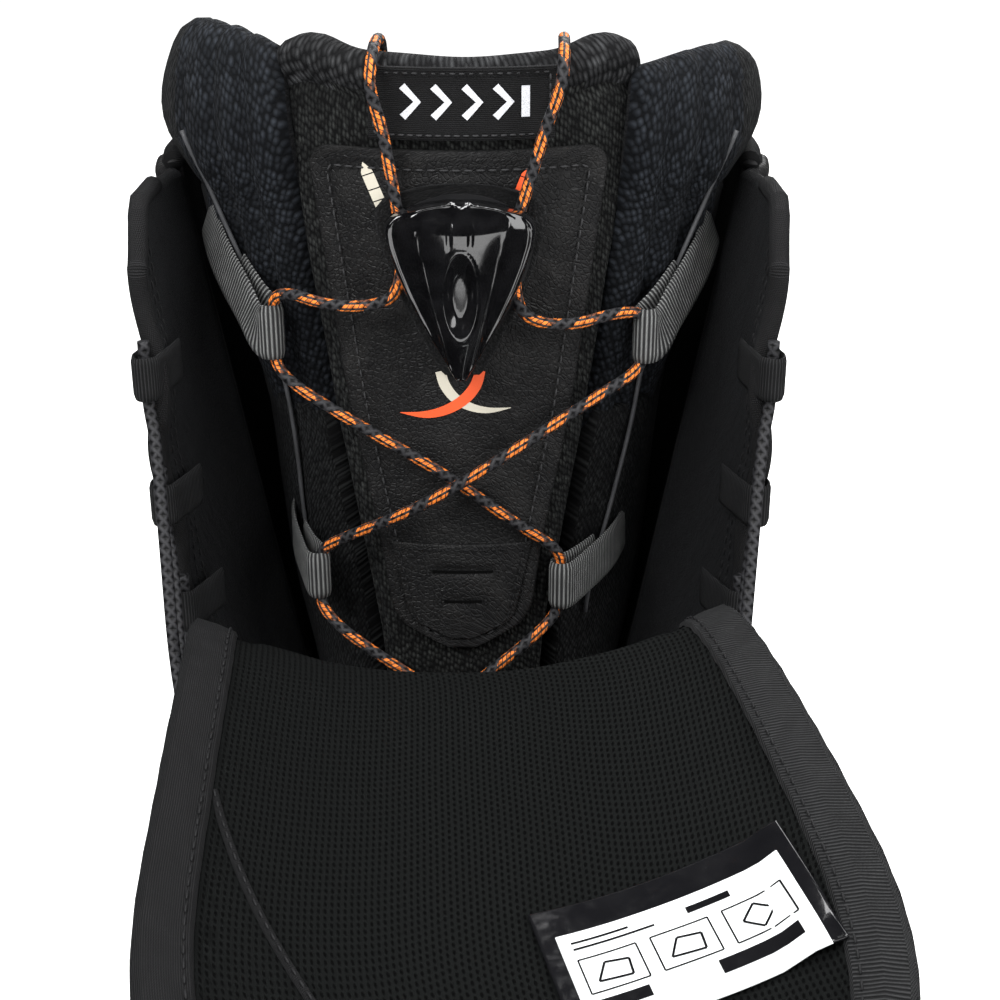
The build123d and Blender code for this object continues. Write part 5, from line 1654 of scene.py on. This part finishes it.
# ---------------------------------------------------------------- liner lace
LACE_Y, EYE_Y = -51.35, -38.5
ORANGE_RADIUS = 1.42
LACE_ROUTE = [
    (-13.4, LACE_Y, 292.0),
    (-13.4, LACE_Y, 285.0),
    (-17.5, LACE_Y, 279.5),
    (-31.0, -49.6, 278.5),
    (-43.0, -42.6, 280.5),
    (-47.0, EYE_Y, 276.0),
    (-47.0, EYE_Y, 262.0),
    (-43.4, -42.4, 256.8),
    (-24.0, -49.4, 247.0),
    (-2.8, -50.8, 234.5),
    (14.0, -48.8, 220.5),
    (23.8, -46.0, 213.0),
    (26.0, -44.4, 208.5),
    (26.0, -44.4, 194.5),
    (21.0, -47.0, 188.5),
    (6.0, -52.6, 178.0),
    (-9.0, -54.8, 166.5),
    (-17.5, -56.2, 158.0),
    (-16.0, -59.6, 150.5),
    (0.0, -62.6, 148.5),
    (16.0, -60.4, 151.0),
    (17.5, -57.4, 159.0),
    (8.0, -59.0, 166.5),
    (-8.0, -57.4, 177.0),
    (-30.0, -49.2, 188.5),
    (-36.6, -43.6, 193.0),
    (-37.6, -41.6, 197.0),
    (-37.6, -41.6, 209.5),
    (-31.0, -46.0, 215.0),
    (-16.0, -52.6, 224.0),
    (-2.8, -54.6, 232.0),
    (12.0, -53.4, 241.5),
    (36.0, -46.4, 255.5),
    (44.4, -40.2, 258.5),
    (46.4, EYE_Y, 263.0),
    (46.4, EYE_Y, 273.0),
    (40.0, -43.4, 275.5),
    (27.0, -49.4, 273.5),
    (16.5, LACE_Y, 275.5),
    (13.4, LACE_Y, 282.0),
    (13.4, LACE_Y, 292.0),
]


def make_liner_lace():
    line = nurbs(LACE_ROUTE, 12)
    far = [i for i, p in enumerate(line) if p.x < -46.2 and 266 < p.z < 271][0]
    near = [i for i, p in enumerate(line) if p.x > 45.6 and 266 < p.z < 271][-1]
    left, middle, right = line[: far + 1], line[far : near + 1], line[near:]
    give(tube("liner_lace_crossing", middle, ORANGE_RADIUS, ORANGE), "liner_tongue", "orange_lace", "liner_lace")
    give(tube("liner_lace_out_left", left, ORANGE_RADIUS, ORANGE), None, "orange_lace",
        bend=("liner_tongue", "lace_lock", (-44, -44, 278), (-19, -51, 279)))
    give(tube("liner_lace_out_right", right, ORANGE_RADIUS, ORANGE), None, "orange_lace",
        bend=("liner_tongue", "lace_lock", (43, -42, 276), (19, -51, 275)))
    for side, tag in SIDES:
        foot, head, behind = (-13.4, -19.4, -24.6) if side < 0 else (13.4, 24.6, -22.6)
        lean = (head - foot) / 40.0
        route = [(foot, LACE_Y, 292.0), (foot, LACE_Y, 298.0), (foot + lean * 12, -51.0, 309.0),
            (foot + lean * 26, -50.0, 322.0), (head - 0.6, -51.0, 331.0)]
        route += [(head, -49.9, 336.4), (head + 0.3, -44.0, 339.2), (head + 0.6, behind - 6.6, 339.4),
            (head + 0.9, behind - 0.2, 336.4), (head + 1.0, behind, 330.0)]
        thing = tube(f"liner_lace_rise_{tag}", nurbs(route, 12), ORANGE_RADIUS, ORANGE)
        give(thing, None, "orange_lace", f"lace_rise_{tag}",
            bend=("liner_tongue", "lace_lock", (head, -50, 340), (foot, -51, 303)))


make_liner_lace()


def make_web_loop(eye, root, width, tag, side):
    eye, root = Vector(eye), Vector(root)
    run = (root - eye).normalized()
    flat = Vector((run.x, run.y, 0)).normalized()
    out = flat.cross(Vector((0, 0, 1))) * (1 if side > 0 else -1)
    if out.y > 0:
        out = -out
    path = [root + run * 7 - out * 2.0, root + out * 0.4, root.lerp(eye, 0.33) + out * 2.0,
        root.lerp(eye, 0.7) + out * 2.6, eye + flat * 2.5 + out * 2.9]
    path += [eye - flat * 1.6 + out * 2.6, eye - flat * 3.0, eye - flat * 1.6 - out * 2.6,
        eye + flat * 2.5 - out * 2.0, root.lerp(eye, 0.7) - out * 0.4, root.lerp(eye, 0.4) - out * 0.4]
    line = nurbs(path, 7)
    wide = []
    for p in line:
        along = max(0.0, min(1.0, (p - eye).dot(run) / (root - eye).length))
        tilt = run.cross(out).normalized()
        tilt = tilt if tilt.z > 0 else -tilt
        wide.append(Vector((0, 0, 1)).lerp(tilt, ramp(0.1, 0.5, along)))
    thing = strap(f"liner_webbing_{tag}", line, wide, width, 1.3, WEB)
    node = "web_loop_" + tag
    give(thing, None, "webbing", node, bend=("shell", "liner_tongue", tuple(root), tuple(eye + flat * 4)))


def liner_place(x, z, side):
    p = on_ring(LINER, z, angle_at_x(LINER, z, x))
    return (side * x, p.y - 1.5, z)


make_web_loop((-47.0, EYE_Y, 269.0), liner_place(63.5, 287.0, -1), 14.0, "upper_left", -1)
make_web_loop((46.4, EYE_Y, 268.0), liner_place(63.0, 285.0, 1), 14.0, "upper_right", 1)
make_web_loop((-37.6, -41.6, 203.2), liner_place(47.0, 204.5, -1), 13.0, "middle_left", -1)
make_web_loop((26.0, -44.4, 201.5), liner_place(42.0, 203.0, 1), 13.0, "middle_right", 1)

# ---------------------------------------------------------------- lace lock
LOCK_X = 0.7
LOCK_BACK = -46.9
LOCK_HALF = [(263.0, 0.9), (264.2, 2.4), (268.0, 4.9), (273.0, 7.7), (279.0, 10.9), (285.0, 13.7), (291.0, 16.0),
    (296.0, 17.5), (299.0, 17.9), (301.0, 17.5), (302.8, 15.8), (304.2, 12.4), (305.3, 8.0), (305.9, 3.5),
    (306.0, 0.5)]


def lock_half(z, grow=0.0):
    centre = 288.0
    return max(0.3, between(LOCK_HALF, centre + (z - centre) * (21.5 / (21.5 + grow)))[0] + grow)


def make_lock():
    rim = LOCK_BACK - 6.3
    levels = [263.05 + 42.9 * v for v in spread(42.9, 1.5, 0.8)]

    def middle(u, z):
        return Vector((LOCK_X + lock_half(z) * (2 * u - 1), rim - 1.0, z))

    def height(um, vm, u, z):
        w = lock_half(z)
        x = w * (2 * u - 1)
        panel = between([(263, 1.2), (275, 4.4), (290, 8.2), (300, 10.6), (306, 11.5)], z)[0]
        edge = w - abs(x)
        slope = 3.0 + 2.1 * ramp(0, max(1.0, w - panel), edge)
        centre = ramp(panel + 0.55, panel - 0.35, abs(x))
        crown = 5.5 + 0.9 * ramp(306, 296, z) * (1 - (x / max(panel, 1.0)) ** 2)
        h = slope * (1 - centre) + crown * centre
        h += 0.55 * bump(abs(x), panel + 0.5, 0.45) * ramp(264, 268, z) + 0.5 * bump(edge, 1.1, 0.5)
        oval = math.sqrt((x / 4.0) ** 2 + ((z - 284.5) / 10.5) ** 2)
        h -= 1.7 * ramp(1.0, 0.45, oval)
        h += 0.28 * bump(oval, 1.02, 0.06)
        top_tilt = 1.6 * ramp(299, 306, z)
        square = max(abs(x), abs(z - 299.2))
        h -= 0.35 * bump(square, 2.5, 0.22)
        return h - top_tilt

    shield = pad("lock_shield", middle, spread(35, 1.2, 0.55), levels, 1.0, "u0 u1 v0 v1", [GLOSS], top=height,
        low=lambda *a: -0.2)
    give(shield, "lace_lock", "lock_gloss", "lock_cover")

    def pad_mid(u, z):
        p = Vector((LOCK_X + lock_half(z, 2.6) * (2 * u - 1), LOCK_BACK - 1.25, z))
        ruffle = 0.5 * math.sin(z * 1.9) * ramp(0.8, 1.0, abs(2 * u - 1))
        return p + Vector((0, min(0.0, ruffle) * 0.5, 0))

    pads = pad("lock_backing", pad_mid, spread(40, 0.9, 1.0), [260.6 + 47.8 * v for v in spread(47.8, 0.9, 1.0)], 0.7,
        "u0 u1 v0 v1", [BACKING])
    give(pads, "lace_lock", "shell_leather", "lock_pad")
    turns = [k * 0.3 for k in range(84)]
    coil = [Vector((LOCK_X + 1.1 * math.cos(a), LOCK_BACK - 8.6 + 1.1 * math.sin(a),
        281.4 + 2.9 * a / (2 * math.pi * 4))) for a in turns]
    give(tube("lock_coil", coil, 0.18, STEEL, 6), "lace_lock", "spring_steel", "lock_spring")


make_lock()
repaint(MATT, "lock_base", "lock_wedge")

# ---------------------------------------------------------------- handles
HANDLE_TILT = math.radians(11)


def rounded_bar(name, side, centre, size, ribs, material):
    """A soft-edged moulded bar in a handle's frame: x out of the boot, z up its side."""
    place = Matrix.Translation((side * 70.5, 46.0, 232.0)) @ Matrix.Rotation(side * HANDLE_TILT, 4, "Y")
    verts, faces = [], []
    columns, around = 41, 28
    for i in range(columns):
        t = 2 * i / (columns - 1) - 1
        taper = (1 - abs(t) ** 6) ** 0.35 if abs(t) < 1 else 0.0
        groove = 1 - 0.05 * ribs * (0.5 + 0.5 * math.cos(t * math.pi * 9)) * (abs(t) < 0.72)
        for k in range(around):
            turn = 2 * math.pi * k / around
            c, s_ = math.cos(turn), math.sin(turn)
            x = math.copysign(abs(c) ** 0.55, c) * size[0] / 2 * taper * groove
            z = math.copysign(abs(s_) ** 0.55, s_) * size[2] / 2 * taper * groove
            verts.append(place @ Vector((side * (centre[0] + x), centre[1] + t * size[1] / 2, centre[2] + z)))
    for i in range(columns - 1):
        for k in range(around):
            a, b = i * around + k, i * around + (k + 1) % around
            faces.append((a, b, b + around, a + around))
    return clean(mesh_piece(name, verts, faces, None, None, [material]))


for side, tag in SIDES:
    give(rounded_bar(f"handle_bar_{tag}", side, (4.0, 0, 28.0), (9.2, 46, 13), 1.0, MATT), f"handle_{tag}", "moulded",
        f"handle_grip_{tag}")
    give(rounded_bar(f"handle_core_{tag}", side, (4.4, 0, 28.0), (9.4, 30, 7), 2.2, RUBBER), f"handle_{tag}",
        "moulded")
repaint(MATT, "handle_housing_left", "handle_housing_right")
repaint(BLACK_BRAID, "handle_cords_left", "handle_cords_right")


# ---------------------------------------------------------------- stage, light, camera
def make_stage():
    floor = mesh_piece("floor", [(-4000, -4000, 0), (4000, -4000, 0), (4000, 6000, 0), (-4000, 6000, 0)],
        [(0, 1, 2, 3)], smooth=False)
    paint = Paint("floor_white", (0.93, 0.93, 0.93), 0.9, False, specular=0.1)
    paint.set("Emission Color", (1, 1, 1, 1))
    paint.set("Emission Strength", 0.35)
    paint.raise_by(paint.noise(0.05), 0.01)
    floor.data.materials.append(paint.material)
    floor.visible_glossy = False
    world = bpy.data.worlds.new("studio")
    world.cycles_visibility.glossy = False
    scene.world = world
    world.use_nodes = True
    world.node_tree.nodes["Background"].inputs[0].default_value = (1, 1, 1, 1)
    world.node_tree.nodes["Background"].inputs[1].default_value = 0.7
    for name, place, size, power, aim in (
        ("key", (-0.7, -1.1, 1.5), 0.9, 26, (0, 0, 0.22)),
        ("fill", (1.1, -0.7, 0.9), 1.0, 12, (0, 0, 0.22)),
        ("top", (0.1, 0.1, 1.5), 0.8, 16, (0, -0.05, 0.2)),
        ("back", (0.2, 1.3, 1.0), 0.9, 10, (0, 0, 0.25)),
        ("front", (0.05, -1.4, 0.12), 0.5, 1.9, (0, 0, 0.28)),
    ):
        lamp = bpy.data.lights.new(name, "AREA")
        lamp.energy, lamp.size = power, size
        thing = bpy.data.objects.new(name, lamp)
        scene.collection.objects.link(thing)
        thing.location = place
        thing.rotation_euler = (Vector(aim) - Vector(place)).to_track_quat("-Z", "Y").to_euler()
    scene.view_settings.view_transform = "Standard"
    scene.view_settings.look = "None"
    scene.view_settings.exposure = 0.0
    lens = bpy.data.cameras.new("camera")
    lens.lens, lens.sensor_width = 61.92, 36.0
    lens.clip_start, lens.clip_end = 0.01, 20
    camera = bpy.data.objects.new("camera", lens)
    scene.collection.objects.link(camera)
    camera.location = (0.010, -0.448, 0.4048)
    camera.rotation_euler = (math.radians(66), 0, 0)
    scene.camera = camera


make_stage()
